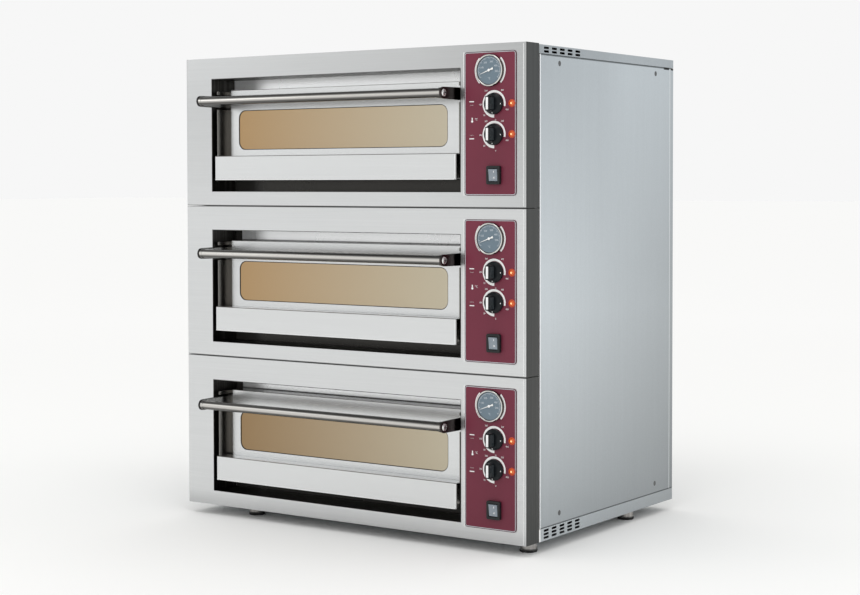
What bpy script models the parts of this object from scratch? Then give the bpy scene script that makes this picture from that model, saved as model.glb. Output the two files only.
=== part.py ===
"""Three-deck electric bakery oven, modelled in metres with +Z up and the front facing -Y.

Dimensions are given in the oven body's own coordinates: x from the left edge of the body,
d (depth) from the plane of the front panels towards the back, and z from the underside of
the body. place() turns them into scene coordinates, whose origin is on the floor under the
centre of the whole object.
"""

import collections
import math

import bmesh
import bpy
from mathutils import Matrix, Vector

# Body
WIDTH = 0.940
DEPTH = 0.670
DECK_PITCH = 0.352
TOP_DECK_HEIGHT = 0.344
BODY_HEIGHT = 2 * DECK_PITCH + TOP_DECK_HEIGHT
FOOT_HEIGHT = 0.025
SHEET = 0.0015
GAP = 0.0003
REACH = 0.010
PLAY = 0.0005
PANEL_GAP = 0.001
SEAM = 0.0015

# Front panel of a deck
FASCIA_DEPTH = 0.053
FASCIA_SHEET = 0.002
FASCIA_EDGE_RADIUS = 0.003
OPENING_X = (0.0785, 0.7765)
OPENING_Z = (0.033, 0.295)
OPENING_RETURN = 0.0815

# Door: the outer skin is an apron, a step and a face, with side strips left free for the arms
DOOR_X = (0.0868, 0.7682)
DOOR_Z = (0.060, 0.270)
APRON_TOP = 0.116
BOTTOM_LIP = 0.014
TOP_LIP_BACK = 0.076
FACE_X = (0.1070, 0.7560)
FACE_DEPTH = 0.036
DOOR_BACK = 0.080
LINER_FRONT = 0.046
LINER_RIM = 0.005
FOLD_RELIEF = 0.002
CHEEK = 0.002
CHEEK_FRONT = 0.010
ARM_NOTCH = (0.2245, 0.2595)
WINDOW_X = (0.1310, 0.7200)
WINDOW_Z = (0.1305, 0.2225)
WINDOW_RADIUS = 0.019
WINDOW_RIM = 0.004
GLASS_THICKNESS = 0.004
GLASS_MARGIN = 0.009
GLASS_CORNER = 0.004

# Door hinge
PIVOT_DEPTH = 0.018
PIVOT_Z = 0.066
PIN_RADIUS = 0.0040
PIN_HOLE_RADIUS = 0.0044
PIN_REACH = 0.0115
PIN_ROOT = 0.0018

# Handle
BAR_RADIUS = 0.010
BAR_BORE = 0.0085
BAR_DEPTH = -0.050
BAR_Z = 0.242
COLLAR_RADIUS = 0.0112
COLLAR_LENGTH = 0.007
COLLAR_EDGE = 0.0008
ARM_THICKNESS = 0.004
ARM_NOSE_RADIUS = 0.0125
ARM_HEEL = 0.014
ARM_BACK = 0.0455

# Baking chamber
MOUTH_X = (0.0765, 0.7785)
MOUTH_Z = (0.0315, 0.318)
MOUTH_DEPTH = 0.084
CHAMBER_X = (0.1075, 0.7475)
CHAMBER_Z = (0.090, 0.262)
CHAMBER_BACK = 0.614
LEDGE = 0.012
LEDGE_ROOT = 0.0006
STONE_Z = (0.109, 0.126)
STONE_MARGIN = 0.003
STONE_EDGE = 0.002
STONE_FRONT = 0.090
STONE_BACK = 0.594

# Heating elements
TUBE_RADIUS = 0.004
TUBE_RUNS = 4
BEND_STEPS = 4
TUBE_MARGIN = 0.060
TUBE_BACK_GAP = 0.020
TOP_TUBE_Z = 0.250
BOTTOM_TUBE_Z = 0.098
TUBE_FRONT = 0.130
TERMINAL_DEPTH = (0.599, 0.606)
TERMINAL_Z = (0.092, 0.258)
TERMINAL_OVERHANG = 0.015

# Controls
PLATE_X = (0.7875, 0.9160)
PLATE_Z = (0.026, 0.328)
PLATE_FRONT = -0.0013
PLATE_RADIUS = 0.007
GAUGE_X = 0.852
GAUGE_Z = 0.288
GAUGE_RADIUS = 0.034
GAUGE_CAN_RADIUS = 0.029
GAUGE_DIAL_HEIGHT = 0.0042
GAUGE_PROFILE = (
    (0.0, GAUGE_DIAL_HEIGHT),
    (0.0295, GAUGE_DIAL_HEIGHT),
    (0.0300, 0.0070),
    (0.0320, 0.0070),
    (GAUGE_RADIUS, 0.0050),
    (GAUGE_RADIUS, GAP),
    (GAUGE_CAN_RADIUS, GAP),
    (GAUGE_CAN_RADIUS, -0.0300),
    (0.0, -0.0300),
)
NEEDLE_HUB = 0.0030
NEEDLE_TIP = 0.0235
NEEDLE_TAIL = 0.0105
NEEDLE_HALF_WIDTHS = (0.0003, 0.0009, 0.0024)
NEEDLE_HALF_THICKNESS = 0.0004
NEEDLE_LIFT = 0.0012
NEEDLE_REST = math.radians(200)
KNOB_X = 0.862
KNOB_Z = {"top_heat": 0.218, "bottom_heat": 0.154}
KNOB_RADIUS = 0.0225
SHAFT_RADIUS = 0.003
SHAFT_HOLE_RADIUS = 0.005
KNOB_PROFILE = (
    (0.0, 0.0095),
    (0.0165, 0.0095),
    (0.0200, 0.0068),
    (KNOB_RADIUS, 0.0050),
    (KNOB_RADIUS, 0.0008),
    (SHAFT_RADIUS, 0.0008),
    (SHAFT_RADIUS, -0.0180),
    (0.0, -0.0180),
)
GRIP = (0.0110, 0.0310)
GRIP_REACH = (0.0290, 0.0060)
GRIP_CORNER = 0.0035
GRIP_EDGE = 0.0015
SWITCH_X = 0.863
SWITCH_Z = 0.069
SWITCH_FRAME = (0.033, 0.039)
SWITCH_HOLE = (0.0226, 0.0280)
SWITCH_BODY = (0.0266, 0.0330)
SWITCH_CUTOUT = (0.0276, 0.0340)
SWITCH_FRONT = -0.0090
SWITCH_BACK = 0.0180
SWITCH_LIP = 0.0020
SWITCH_CORNER = 0.0030
ROCKER_WIDTH = 0.0210
ROCKER_PROFILE = (
    (-0.0106, 0.0125),
    (-0.0086, 0.0),
    (-0.0076, -0.0125),
    (-0.0040, -0.0125),
    (0.0030, -0.0050),
    (0.0030, 0.0050),
    (-0.0040, 0.0125),
)
ROCKER_PIVOT = -0.0050

# Casing
COVER_DROP = 0.002
COVER_SKIRT = 0.019
TRAY_SKIRT = 0.027
REAR_RETURN = 0.016
SIDE_FLANGE = 0.014
CASING_FRONT = FASCIA_DEPTH + 0.001
SLOT = (0.021, 0.005)
SLOT_CORNER = 0.0016
SLOT_PITCH = 0.033
SLOT_FIRST_DEPTH = 0.0805
SLOTS_IN_ROW = 5
SLOT_ROW_PITCH = 0.0075

# Feet and cable gland
FOOT_X = (0.155, 0.905)
FOOT_DEPTH = (0.066, 0.500)
FOOT_RADIUS = 0.019
STUD_RADIUS = 0.005
FOOT_PROFILE = (
    (0.0, 0.0140),
    (STUD_RADIUS, 0.0140),
    (STUD_RADIUS, -GAP),
    (0.0175, -GAP),
    (0.0175, -0.0175),
    (FOOT_RADIUS, -0.0190),
    (FOOT_RADIUS, -0.0238),
    (0.0178, -FOOT_HEIGHT),
    (0.0, -FOOT_HEIGHT),
)
GLAND_X = 0.850
GLAND_Z = 0.075
GLAND_LENGTH = 0.022
GLAND_BORE = 0.006
GLAND_STEPS = 16
GLAND_PROFILE = (
    (GLAND_BORE, GLAND_LENGTH),
    (0.0095, GLAND_LENGTH),
    (0.0115, 0.0190),
    (0.0115, 0.0090),
    (0.0135, 0.0090),
    (0.0145, 0.0080),
    (0.0145, -SHEET / 2),
    (GLAND_BORE, -SHEET / 2),
)

CENTRE_DEPTH = (BAR_DEPTH - ARM_NOSE_RADIUS + DEPTH + GLAND_LENGTH) / 2

Deck = collections.namedtuple("Deck", "name floor height")
DECKS = (
    Deck("bottom", 0.0, DECK_PITCH),
    Deck("middle", DECK_PITCH, DECK_PITCH),
    Deck("top", 2 * DECK_PITCH, TOP_DECK_HEIGHT),
)

STAINLESS = ((0.62, 0.63, 0.64), 0.32, 1.0)
SATIN_PANEL = ((0.55, 0.57, 0.60), 0.42, 1.0)
DARK_STEEL = ((0.20, 0.19, 0.18), 0.35, 1.0)
CHAMBER_STEEL = ((0.45, 0.44, 0.42), 0.45, 1.0)
CHROME = ((0.72, 0.70, 0.68), 0.12, 1.0)
BORDEAUX = ((0.21, 0.035, 0.07), 0.35, 0.0)
BLACK_PLASTIC = ((0.02, 0.02, 0.022), 0.35, 0.0)
SMOKED_PLASTIC = ((0.30, 0.32, 0.33), 0.25, 0.0)
AMBER_GLASS = ((0.48, 0.34, 0.19), 0.08, 0.0)
DIAL_BLUE = ((0.20, 0.28, 0.34), 0.40, 0.0)
NEEDLE_WHITE = ((0.85, 0.85, 0.83), 0.40, 0.0)
FIRECLAY = ((0.55, 0.47, 0.36), 0.90, 0.0)
ELEMENT_STEEL = ((0.12, 0.11, 0.10), 0.55, 1.0)

TURN_STEPS = 24
SMALL_TURN_STEPS = 12
MERGE = 0.00001
FRONT_FACING = (math.pi / 2, 0.0, 0.0)
BACK_FACING = (-math.pi / 2, 0.0, 0.0)
RIGHT_FACING = (0.0, math.pi / 2, 0.0)
UPRIGHT = (0.0, 0.0, 0.0)


def clear_scene():
    for obj in list(bpy.data.objects):
        bpy.data.objects.remove(obj)


def new_collection(name):
    group = bpy.data.collections.new(name)
    bpy.context.scene.collection.children.link(group)
    return group


def place(x, depth, z):
    """Scene position of a point given in the body's coordinates."""
    return Vector((x - WIDTH / 2, depth - CENTRE_DEPTH, z + FOOT_HEIGHT))


def add_object(name, data, location, rotation=UPRIGHT):
    obj = bpy.data.objects.new(name, data)
    obj.location = location
    obj.rotation_euler = rotation
    TOOLS.objects.link(obj)
    obj.hide_render = True
    obj.display_type = "WIRE"
    return obj


def as_part(obj, finish, pivot=None):
    """Makes a helper a part of the oven: named collection, own material and parent empty."""
    TOOLS.objects.unlink(obj)
    OVEN.objects.link(obj)
    obj.hide_render = False
    obj.display_type = "TEXTURED"
    color, roughness, metallic = finish
    material = bpy.data.materials.new(obj.name)
    material.use_nodes = True
    shader = material.node_tree.nodes["Principled BSDF"]
    shader.inputs["Base Color"].default_value = (*color, 1.0)
    shader.inputs["Roughness"].default_value = roughness
    shader.inputs["Metallic"].default_value = metallic
    obj.data.materials.append(material)
    if pivot:
        obj.parent = pivot
        obj.location -= pivot.location
    return obj


def pivot_at(name, x, depth, z):
    empty = bpy.data.objects.new(name, None)
    empty.location = place(x, depth, z)
    empty.empty_display_size = 2 * REACH
    OVEN.objects.link(empty)
    return empty


def mesh_from(name, shape):
    mesh = bpy.data.meshes.new(name)
    shape.to_mesh(mesh)
    shape.free()
    return mesh


def edges_along(shape, axis):
    """Edges of a box that run parallel to one of its axes (0, 1 or 2)."""
    others = [i for i in range(3) if i != axis]
    return [
        edge
        for edge in shape.edges
        if all(abs(edge.verts[0].co[i] - edge.verts[1].co[i]) < MERGE for i in others)
    ]


def block(name, x, depth, z, round_axis=None, radius=0.0, segments=1):
    """Box between pairs of body coordinates, with the edges along one axis rounded."""
    size = (x[1] - x[0], depth[1] - depth[0], z[1] - z[0])
    shape = bmesh.new()
    bmesh.ops.create_cube(shape, size=1.0, matrix=Matrix.Diagonal((*size, 1.0)))
    if round_axis is not None:
        bmesh.ops.bevel(
            shape,
            geom=edges_along(shape, round_axis),
            offset=radius,
            segments=segments,
            affect="EDGES",
            profile=0.5,
        )
    centre = place(sum(x) / 2, sum(depth) / 2, sum(z) / 2)
    return add_object(name, mesh_from(name, shape), centre)


def centred(middle, size):
    return (middle - size / 2, middle + size / 2)


def turned(name, profile, centre, rotation, closed=False, steps=TURN_STEPS):
    """Solid of revolution about local Z; profile holds (radius, height), outer side downwards."""
    mesh = bpy.data.meshes.new(name)
    points = [(radius, 0.0, height) for radius, height in profile]
    edges = [(i, i + 1) for i in range(len(points) - 1)]
    if closed:
        edges.append((len(points) - 1, 0))
    mesh.from_pydata(points, edges, [])
    obj = add_object(name, mesh, centre, rotation)
    screw = obj.modifiers.new("turn", "SCREW")
    screw.axis = "Z"
    screw.angle = 2 * math.pi
    screw.steps = steps
    screw.render_steps = steps
    screw.use_merge_vertices = True
    screw.merge_threshold = MERGE
    screw.use_smooth_shade = True
    return obj


def cylinder(name, radius, centre, rotation, reach, steps=SMALL_TURN_STEPS):
    """Cylinder whose local Z runs from reach[0] to reach[1] about the centre."""
    profile = [(0.0, reach[1]), (radius, reach[1]), (radius, reach[0]), (0.0, reach[0])]
    return turned(name, profile, centre, rotation, steps=steps)


def plate_outline(name, outline, x):
    """Flat plate in the depth-height plane, as thick as the x pair; outline holds (depth, z)."""
    curve = bpy.data.curves.new(name, "CURVE")
    curve.dimensions = "2D"
    curve.fill_mode = "BOTH"
    curve.extrude = (x[1] - x[0]) / 2
    spline = curve.splines.new("POLY")
    spline.points.add(len(outline) - 1)
    spline.use_cyclic_u = True
    for point, (depth, z) in zip(spline.points, outline):
        point.co = (depth, z, 0.0, 1.0)
    # Local X is depth, local Y is height and local Z is the scene's X.
    turn = Matrix(((0, 0, 1), (1, 0, 0), (0, 1, 0))).to_euler()
    return add_object(name, curve, place(sum(x) / 2, 0.0, 0.0), turn)


def meshed(obj):
    """The same shape as a mesh, with its loose caps welded, so that Booleans can use it."""
    bpy.context.view_layer.update()
    graph = bpy.context.evaluated_depsgraph_get()
    mesh = bpy.data.meshes.new_from_object(obj.evaluated_get(graph))
    shape = bmesh.new()
    shape.from_mesh(mesh)
    bmesh.ops.remove_doubles(shape, verts=shape.verts, dist=MERGE)
    bmesh.ops.recalc_face_normals(shape, faces=shape.faces)
    shape.to_mesh(mesh)
    shape.free()
    name = obj.name
    place_now = obj.matrix_world.copy()
    bpy.data.objects.remove(obj)
    result = add_object(name, mesh, (0.0, 0.0, 0.0))
    result.matrix_world = place_now
    return result


def boolean(target, other, operation):
    step = target.modifiers.new(f"{operation.lower()}_{other.name}", "BOOLEAN")
    step.operation = operation
    step.solver = "EXACT"
    step.object = other


def cut(target, *cutters):
    for cutter in cutters:
        boolean(target, cutter, "DIFFERENCE")


def join(target, *others):
    for other in others:
        boolean(target, other, "UNION")


def raised(deck, span):
    """A pair of heights above the deck's floor as heights above the body's underside."""
    return tuple(deck.floor + z for z in span)


def inset(span, amount):
    return (span[0] + amount, span[1] - amount)


def control_holes(deck, prefix, depth):
    """Cutters for everything that passes through the control area."""
    gauge = cylinder(
        f"{prefix}_gauge_hole",
        GAUGE_CAN_RADIUS + PLAY,
        place(GAUGE_X, 0.0, deck.floor + GAUGE_Z),
        BACK_FACING,
        depth,
        steps=TURN_STEPS,
    )
    shafts = [
        cylinder(
            f"{prefix}_{name}_hole",
            SHAFT_HOLE_RADIUS,
            place(KNOB_X, 0.0, deck.floor + z),
            BACK_FACING,
            depth,
        )
        for name, z in KNOB_Z.items()
    ]
    switch = block(
        f"{prefix}_switch_hole",
        centred(SWITCH_X, SWITCH_CUTOUT[0]),
        depth,
        centred(deck.floor + SWITCH_Z, SWITCH_CUTOUT[1]),
    )
    return [gauge, *shafts, switch]


def build_fascia(deck):
    """Folded front panel: a face with four edge returns and a return around the door opening."""
    name = f"{deck.name}_fascia"
    low = deck.floor + (SEAM / 2 if deck.floor else 0.0)
    high = deck.floor + deck.height - (0.0 if deck.name == "top" else SEAM / 2)
    fascia = block(
        name, (0.0, WIDTH), (0.0, FASCIA_DEPTH), (low, high), 2, FASCIA_EDGE_RADIUS, 2
    )
    hollow = block(
        f"{name}_hollow",
        inset((0.0, WIDTH), FASCIA_SHEET),
        (FASCIA_SHEET, 2 * FASCIA_DEPTH),
        inset((low, high), FASCIA_SHEET),
    )
    sleeve = block(
        f"{name}_sleeve",
        inset(OPENING_X, -FASCIA_SHEET),
        (FASCIA_SHEET / 2, OPENING_RETURN),
        inset(raised(deck, OPENING_Z), -FASCIA_SHEET),
    )
    opening = block(
        f"{name}_opening", OPENING_X, (-FASCIA_DEPTH, 2 * FASCIA_DEPTH), raised(deck, OPENING_Z)
    )
    cut(fascia, hollow)
    join(fascia, sleeve)
    cut(fascia, opening, *control_holes(deck, name, (-REACH, FASCIA_SHEET * 2)))
    pin_holes = cylinder(
        f"{name}_pin_holes",
        PIN_HOLE_RADIUS,
        place(sum(OPENING_X) / 2, PIVOT_DEPTH, deck.floor + PIVOT_Z),
        RIGHT_FACING,
        centred(0.0, OPENING_X[1] - OPENING_X[0] + 8 * FASCIA_SHEET),
    )
    cut(fascia, pin_holes)
    return as_part(fascia, STAINLESS)


def build_chamber(deck):
    """Baking chamber: a mouth flange, a five-sided box behind it and two ledges for the stone."""
    name = f"{deck.name}_chamber"
    chamber = block(
        name, MOUTH_X, (MOUTH_DEPTH, MOUTH_DEPTH + SHEET), raised(deck, MOUTH_Z)
    )
    shell = block(
        f"{name}_shell",
        inset(CHAMBER_X, -SHEET),
        (MOUTH_DEPTH + SHEET / 2, CHAMBER_BACK + SHEET),
        inset(raised(deck, CHAMBER_Z), -SHEET),
    )
    cavity = block(
        f"{name}_cavity", CHAMBER_X, (MOUTH_DEPTH - SHEET, CHAMBER_BACK), raised(deck, CHAMBER_Z)
    )
    join(chamber, shell)
    cut(chamber, cavity)
    ledge_top = deck.floor + STONE_Z[0] - GAP
    for side, x in enumerate(CHAMBER_X):
        root, edge = (-LEDGE_ROOT, LEDGE) if side == 0 else (-LEDGE, LEDGE_ROOT)
        ledge = block(
            f"{name}_ledge_{side}",
            (x + root, x + edge),
            (STONE_FRONT, STONE_BACK),
            (ledge_top - SHEET, ledge_top),
        )
        join(chamber, ledge)
    return as_part(chamber, CHAMBER_STEEL)


def build_stone(deck):
    stone = block(
        f"{deck.name}_baking_stone",
        inset(CHAMBER_X, STONE_MARGIN),
        (STONE_FRONT, STONE_BACK),
        raised(deck, STONE_Z),
        round_axis=0,
        radius=STONE_EDGE,
    )
    return as_part(stone, FIRECLAY)


def serpentine():
    """Points (x, depth) of an element that runs to and fro across the chamber."""
    low, high = inset(CHAMBER_X, TUBE_MARGIN)
    pitch = (high - low) / (TUBE_RUNS - 1)
    bend = pitch / 2
    back = TERMINAL_DEPTH[0] - bend - TUBE_BACK_GAP
    front = TUBE_FRONT + bend
    points = [(low, sum(TERMINAL_DEPTH) / 2)]
    for run in range(TUBE_RUNS - 1):
        at_front = run % 2 == 0
        turn_depth = front if at_front else back
        middle = low + (run + 0.5) * pitch
        for step in range(BEND_STEPS + 1):
            angle = math.pi * step / BEND_STEPS
            reach = bend * math.sin(angle)
            points.append(
                (middle - bend * math.cos(angle), turn_depth - reach if at_front else turn_depth + reach)
            )
    points.append((high, sum(TERMINAL_DEPTH) / 2))
    return points


def heating_tube(name, z):
    curve = bpy.data.curves.new(name, "CURVE")
    curve.dimensions = "3D"
    curve.bevel_depth = TUBE_RADIUS
    curve.bevel_resolution = 1
    curve.use_fill_caps = True
    path = serpentine()
    spline = curve.splines.new("POLY")
    spline.points.add(len(path) - 1)
    for point, (x, depth) in zip(spline.points, path):
        point.co = (*place(x, depth, z), 1.0)
    return meshed(add_object(name, curve, (0.0, 0.0, 0.0)))


def build_heating_elements(deck):
    """Top and bottom elements on one terminal plate at the back of the chamber."""
    name = f"{deck.name}_heating_elements"
    low, high = inset(CHAMBER_X, TUBE_MARGIN)
    plate = block(
        name,
        (low - TERMINAL_OVERHANG, high + TERMINAL_OVERHANG),
        TERMINAL_DEPTH,
        raised(deck, TERMINAL_Z),
    )
    join(
        plate,
        heating_tube(f"{name}_upper", deck.floor + TOP_TUBE_Z),
        heating_tube(f"{name}_lower", deck.floor + BOTTOM_TUBE_Z),
    )
    return as_part(plate, ELEMENT_STEEL)


def window_cutter(deck, name, grow, depth):
    return block(
        name,
        inset(WINDOW_X, -grow),
        depth,
        inset(raised(deck, WINDOW_Z), -grow),
        round_axis=1,
        radius=WINDOW_RADIUS + grow,
        segments=6,
    )


def build_door_skin(deck, pivot):
    """One folded sheet: apron with a bottom lip, a step back, the face and a top lip."""
    name = f"{deck.name}_door_skin"
    low, high = raised(deck, DOOR_Z)
    step = deck.floor + APRON_TOP
    profile = (
        (BOTTOM_LIP, low),
        (0.0, low),
        (0.0, step),
        (FACE_DEPTH, step),
        (FACE_DEPTH, high),
        (TOP_LIP_BACK, high),
    )
    span = inset(DOOR_X, CHEEK + GAP)
    shape = bmesh.new()
    rows = [[shape.verts.new(place(x, depth, z)) for x in span] for depth, z in profile]
    for (a, b), (c, d) in zip(rows, rows[1:]):
        shape.faces.new((a, b, d, c))
    skin = add_object(name, mesh_from(name, shape), (0.0, 0.0, 0.0))
    solid = skin.modifiers.new("sheet", "SOLIDIFY")
    solid.thickness = SHEET
    solid.offset = -1.0
    solid.use_even_offset = True
    for side, (outer, inner) in enumerate(zip(DOOR_X, FACE_X)):
        outward = -REACH if side == 0 else REACH
        strip = block(
            f"{name}_strip_{side}",
            tuple(sorted((outer + outward, inner))),
            (FACE_DEPTH - FOLD_RELIEF, DOOR_BACK + REACH),
            (step - 2 * FOLD_RELIEF, high + REACH),
        )
        cut(skin, strip)
    cut(skin, window_cutter(deck, f"{name}_window", 0.0, (FACE_DEPTH - REACH, FACE_DEPTH + REACH)))
    return as_part(skin, STAINLESS, pivot)


def build_door_liner(deck, pivot):
    """Inner pan of the door with its two cheeks, notched for the arms and carrying the pins."""
    name = f"{deck.name}_door_liner"
    low, high = inset(raised(deck, DOOR_Z), 2 * SHEET)
    liner = block(name, DOOR_X, (CHEEK_FRONT, DOOR_BACK), (low, high))
    step = deck.floor + APRON_TOP
    inside = inset(DOOR_X, CHEEK)
    behind_skin = block(
        f"{name}_front_space", inside, (-REACH, LINER_FRONT), (low - REACH, high + REACH)
    )
    pan = block(
        f"{name}_pan",
        inside,
        (LINER_FRONT + SHEET, DOOR_BACK - SHEET),
        inset((low, high), SHEET),
    )
    front_opening = block(
        f"{name}_front_opening",
        inset(FACE_X, LINER_RIM),
        (LINER_FRONT - REACH, LINER_FRONT + REACH),
        (step + LINER_RIM, high - REACH),
    )
    arm_space = block(
        f"{name}_arm_space",
        inset(DOOR_X, -REACH),
        (-REACH, LINER_FRONT),
        raised(deck, ARM_NOTCH),
    )
    window = window_cutter(
        deck, f"{name}_window", -WINDOW_RIM, (DOOR_BACK - REACH, DOOR_BACK + REACH)
    )
    cut(liner, behind_skin, pan, front_opening, arm_space, window)
    for side, x in enumerate(DOOR_X):
        outward = -PIN_REACH if side == 0 else PIN_REACH
        pin = cylinder(
            f"{name}_pin_{side}",
            PIN_RADIUS,
            place(x, PIVOT_DEPTH, deck.floor + PIVOT_Z),
            RIGHT_FACING,
            tuple(sorted((-math.copysign(PIN_ROOT, outward), outward))),
        )
        join(liner, pin)
    return as_part(liner, DARK_STEEL, pivot)


def build_door_glass(deck, pivot):
    front = FACE_DEPTH + SHEET + GAP
    glass = block(
        f"{deck.name}_door_glass",
        inset(WINDOW_X, -GLASS_MARGIN),
        (front, front + GLASS_THICKNESS),
        inset(raised(deck, WINDOW_Z), -GLASS_MARGIN),
        round_axis=1,
        radius=GLASS_CORNER,
        segments=2,
    )
    return as_part(glass, AMBER_GLASS, pivot)


def build_handle(deck, pivot):
    """Tube with a collar at each end, between two flat arms."""
    half = (DOOR_X[1] - DOOR_X[0]) / 2 - ARM_THICKNESS - GAP
    lip = COLLAR_EDGE
    profile = [
        (BAR_BORE, half),
        (COLLAR_RADIUS - lip, half),
        (COLLAR_RADIUS, half - lip),
        (COLLAR_RADIUS, half - COLLAR_LENGTH + lip),
        (BAR_RADIUS, half - COLLAR_LENGTH),
        (BAR_RADIUS, COLLAR_LENGTH - half),
        (COLLAR_RADIUS, COLLAR_LENGTH - lip - half),
        (COLLAR_RADIUS, lip - half),
        (COLLAR_RADIUS - lip, -half),
        (BAR_BORE, -half),
    ]
    centre = place(sum(DOOR_X) / 2, BAR_DEPTH, deck.floor + BAR_Z)
    bar = turned(f"{deck.name}_handle_bar", profile, centre, RIGHT_FACING, closed=True)
    as_part(bar, CHROME, pivot)
    z = deck.floor + BAR_Z
    nose = [
        (BAR_DEPTH - ARM_NOSE_RADIUS * math.sin(angle), z + ARM_NOSE_RADIUS * math.cos(angle))
        for angle in (math.pi * step / 8 for step in range(9))
    ]
    outline = [*nose, (ARM_BACK, z - ARM_HEEL), (ARM_BACK, z + ARM_HEEL)]
    for side, x in (("left", DOOR_X[0]), ("right", DOOR_X[1] - ARM_THICKNESS)):
        arm = plate_outline(f"{deck.name}_handle_arm_{side}", outline, (x, x + ARM_THICKNESS))
        as_part(meshed(arm), DARK_STEEL, pivot)


def build_control_plate(deck):
    name = f"{deck.name}_control_plate"
    plate = block(
        name,
        PLATE_X,
        (PLATE_FRONT, -GAP),
        raised(deck, PLATE_Z),
        round_axis=1,
        radius=PLATE_RADIUS,
        segments=4,
    )
    cut(plate, *control_holes(deck, name, (-REACH, REACH)))
    return as_part(plate, BORDEAUX)


def build_thermometer(deck):
    """Round gauge: bezel, recessed dial and the can behind the panel, turned in one piece."""
    centre = place(GAUGE_X, PLATE_FRONT, deck.floor + GAUGE_Z)
    gauge = turned(f"{deck.name}_thermometer", GAUGE_PROFILE, centre, FRONT_FACING)
    return as_part(gauge, DIAL_BLUE)


def build_needle(deck):
    """Pointer with a hub and a broad counterweight, pointing left and a little down."""
    name = f"{deck.name}_thermometer_needle"
    hub = NEEDLE_HUB
    half_tip, half_root, half_tail = NEEDLE_HALF_WIDTHS
    root = math.sqrt(hub * hub - half_root * half_root)
    sweep = math.pi - 2 * math.asin(half_root / hub)
    outline = [(NEEDLE_TIP, half_tip), (root, half_root)]
    for step in range(1, 4):
        angle = math.asin(half_root / hub) + sweep * step / 8
        outline.append((hub * math.cos(angle), hub * math.sin(angle)))
    outline += [(-root, half_root), (-NEEDLE_TAIL, half_tail)]
    outline += [(x, -y) for x, y in reversed(outline)]
    pivot = pivot_at(
        f"{name}_pivot", GAUGE_X, PLATE_FRONT - GAUGE_DIAL_HEIGHT, deck.floor + GAUGE_Z
    )
    curve = bpy.data.curves.new(name, "CURVE")
    curve.dimensions = "2D"
    curve.fill_mode = "BOTH"
    curve.extrude = NEEDLE_HALF_THICKNESS
    spline = curve.splines.new("POLY")
    spline.points.add(len(outline) - 1)
    spline.use_cyclic_u = True
    for point, (x, y) in zip(spline.points, outline):
        point.co = (x, y, 0.0, 1.0)
    turn = Matrix.Rotation(math.pi / 2, 4, "X") @ Matrix.Rotation(NEEDLE_REST, 4, "Z")
    where = pivot.location + Vector((0.0, -NEEDLE_LIFT, 0.0))
    needle = add_object(name, curve, where, turn.to_euler())
    return as_part(meshed(needle), NEEDLE_WHITE, pivot)


def build_knob(deck, name, height):
    """Skirted knob with a bar grip, on the shaft of its thermostat."""
    node = f"{deck.name}_knob_{name}"
    pivot = pivot_at(f"{node}_pivot", KNOB_X, PLATE_FRONT, deck.floor + height)
    knob = turned(node, KNOB_PROFILE, pivot.location, FRONT_FACING)
    grip = block(
        f"{node}_grip",
        centred(KNOB_X, GRIP[0]),
        tuple(PLATE_FRONT - reach for reach in GRIP_REACH),
        centred(deck.floor + height, GRIP[1]),
        round_axis=1,
        radius=GRIP_CORNER,
        segments=2,
    )
    soft = grip.modifiers.new("soft", "BEVEL")
    soft.width = GRIP_EDGE
    soft.segments = 1
    soft.limit_method = "ANGLE"
    soft.angle_limit = math.radians(60)
    join(knob, grip)
    return as_part(knob, BLACK_PLASTIC, pivot)


def build_switch(deck):
    """Rocker switch: a bezel with a body through the panel, and the rocker in it."""
    name = f"{deck.name}_switch_housing"
    z = deck.floor + SWITCH_Z
    housing = block(
        name,
        centred(SWITCH_X, SWITCH_FRAME[0]),
        (SWITCH_FRONT, PLATE_FRONT - GAP),
        centred(z, SWITCH_FRAME[1]),
        round_axis=1,
        radius=SWITCH_CORNER,
        segments=2,
    )
    body = block(
        f"{name}_body",
        centred(SWITCH_X, SWITCH_BODY[0]),
        (SWITCH_FRONT + SWITCH_LIP, SWITCH_BACK),
        centred(z, SWITCH_BODY[1]),
    )
    well = block(
        f"{name}_well",
        centred(SWITCH_X, SWITCH_HOLE[0]),
        (SWITCH_FRONT - REACH, SWITCH_BACK + REACH),
        centred(z, SWITCH_HOLE[1]),
    )
    join(housing, body)
    cut(housing, well)
    as_part(housing, BLACK_PLASTIC)
    pivot = pivot_at(f"{deck.name}_switch_rocker_pivot", SWITCH_X, ROCKER_PIVOT, z)
    outline = [(depth, z + height) for depth, height in ROCKER_PROFILE]
    rocker = plate_outline(f"{deck.name}_switch_rocker", outline, centred(SWITCH_X, ROCKER_WIDTH))
    as_part(meshed(rocker), SMOKED_PLASTIC, pivot)


def slot_cutter(name, x, rows_z):
    """Rows of ventilation slots through a side skirt, as one cutter of separate prisms."""
    shape = bmesh.new()
    for z in rows_z:
        for i in range(SLOTS_IN_ROW):
            where = place(x, SLOT_FIRST_DEPTH + i * SLOT_PITCH, z)
            size = Matrix.Diagonal((2 * REACH, SLOT[0], SLOT[1], 1.0))
            made = bmesh.ops.create_cube(shape, size=1.0, matrix=Matrix.Translation(where) @ size)
            corners = set(made["verts"])
            edges = [edge for edge in edges_along(shape, 0) if edge.verts[0] in corners]
            bmesh.ops.bevel(
                shape, geom=edges, offset=SLOT_CORNER, segments=1, affect="EDGES", profile=0.5
            )
    return add_object(name, mesh_from(name, shape), (0.0, 0.0, 0.0))


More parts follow.
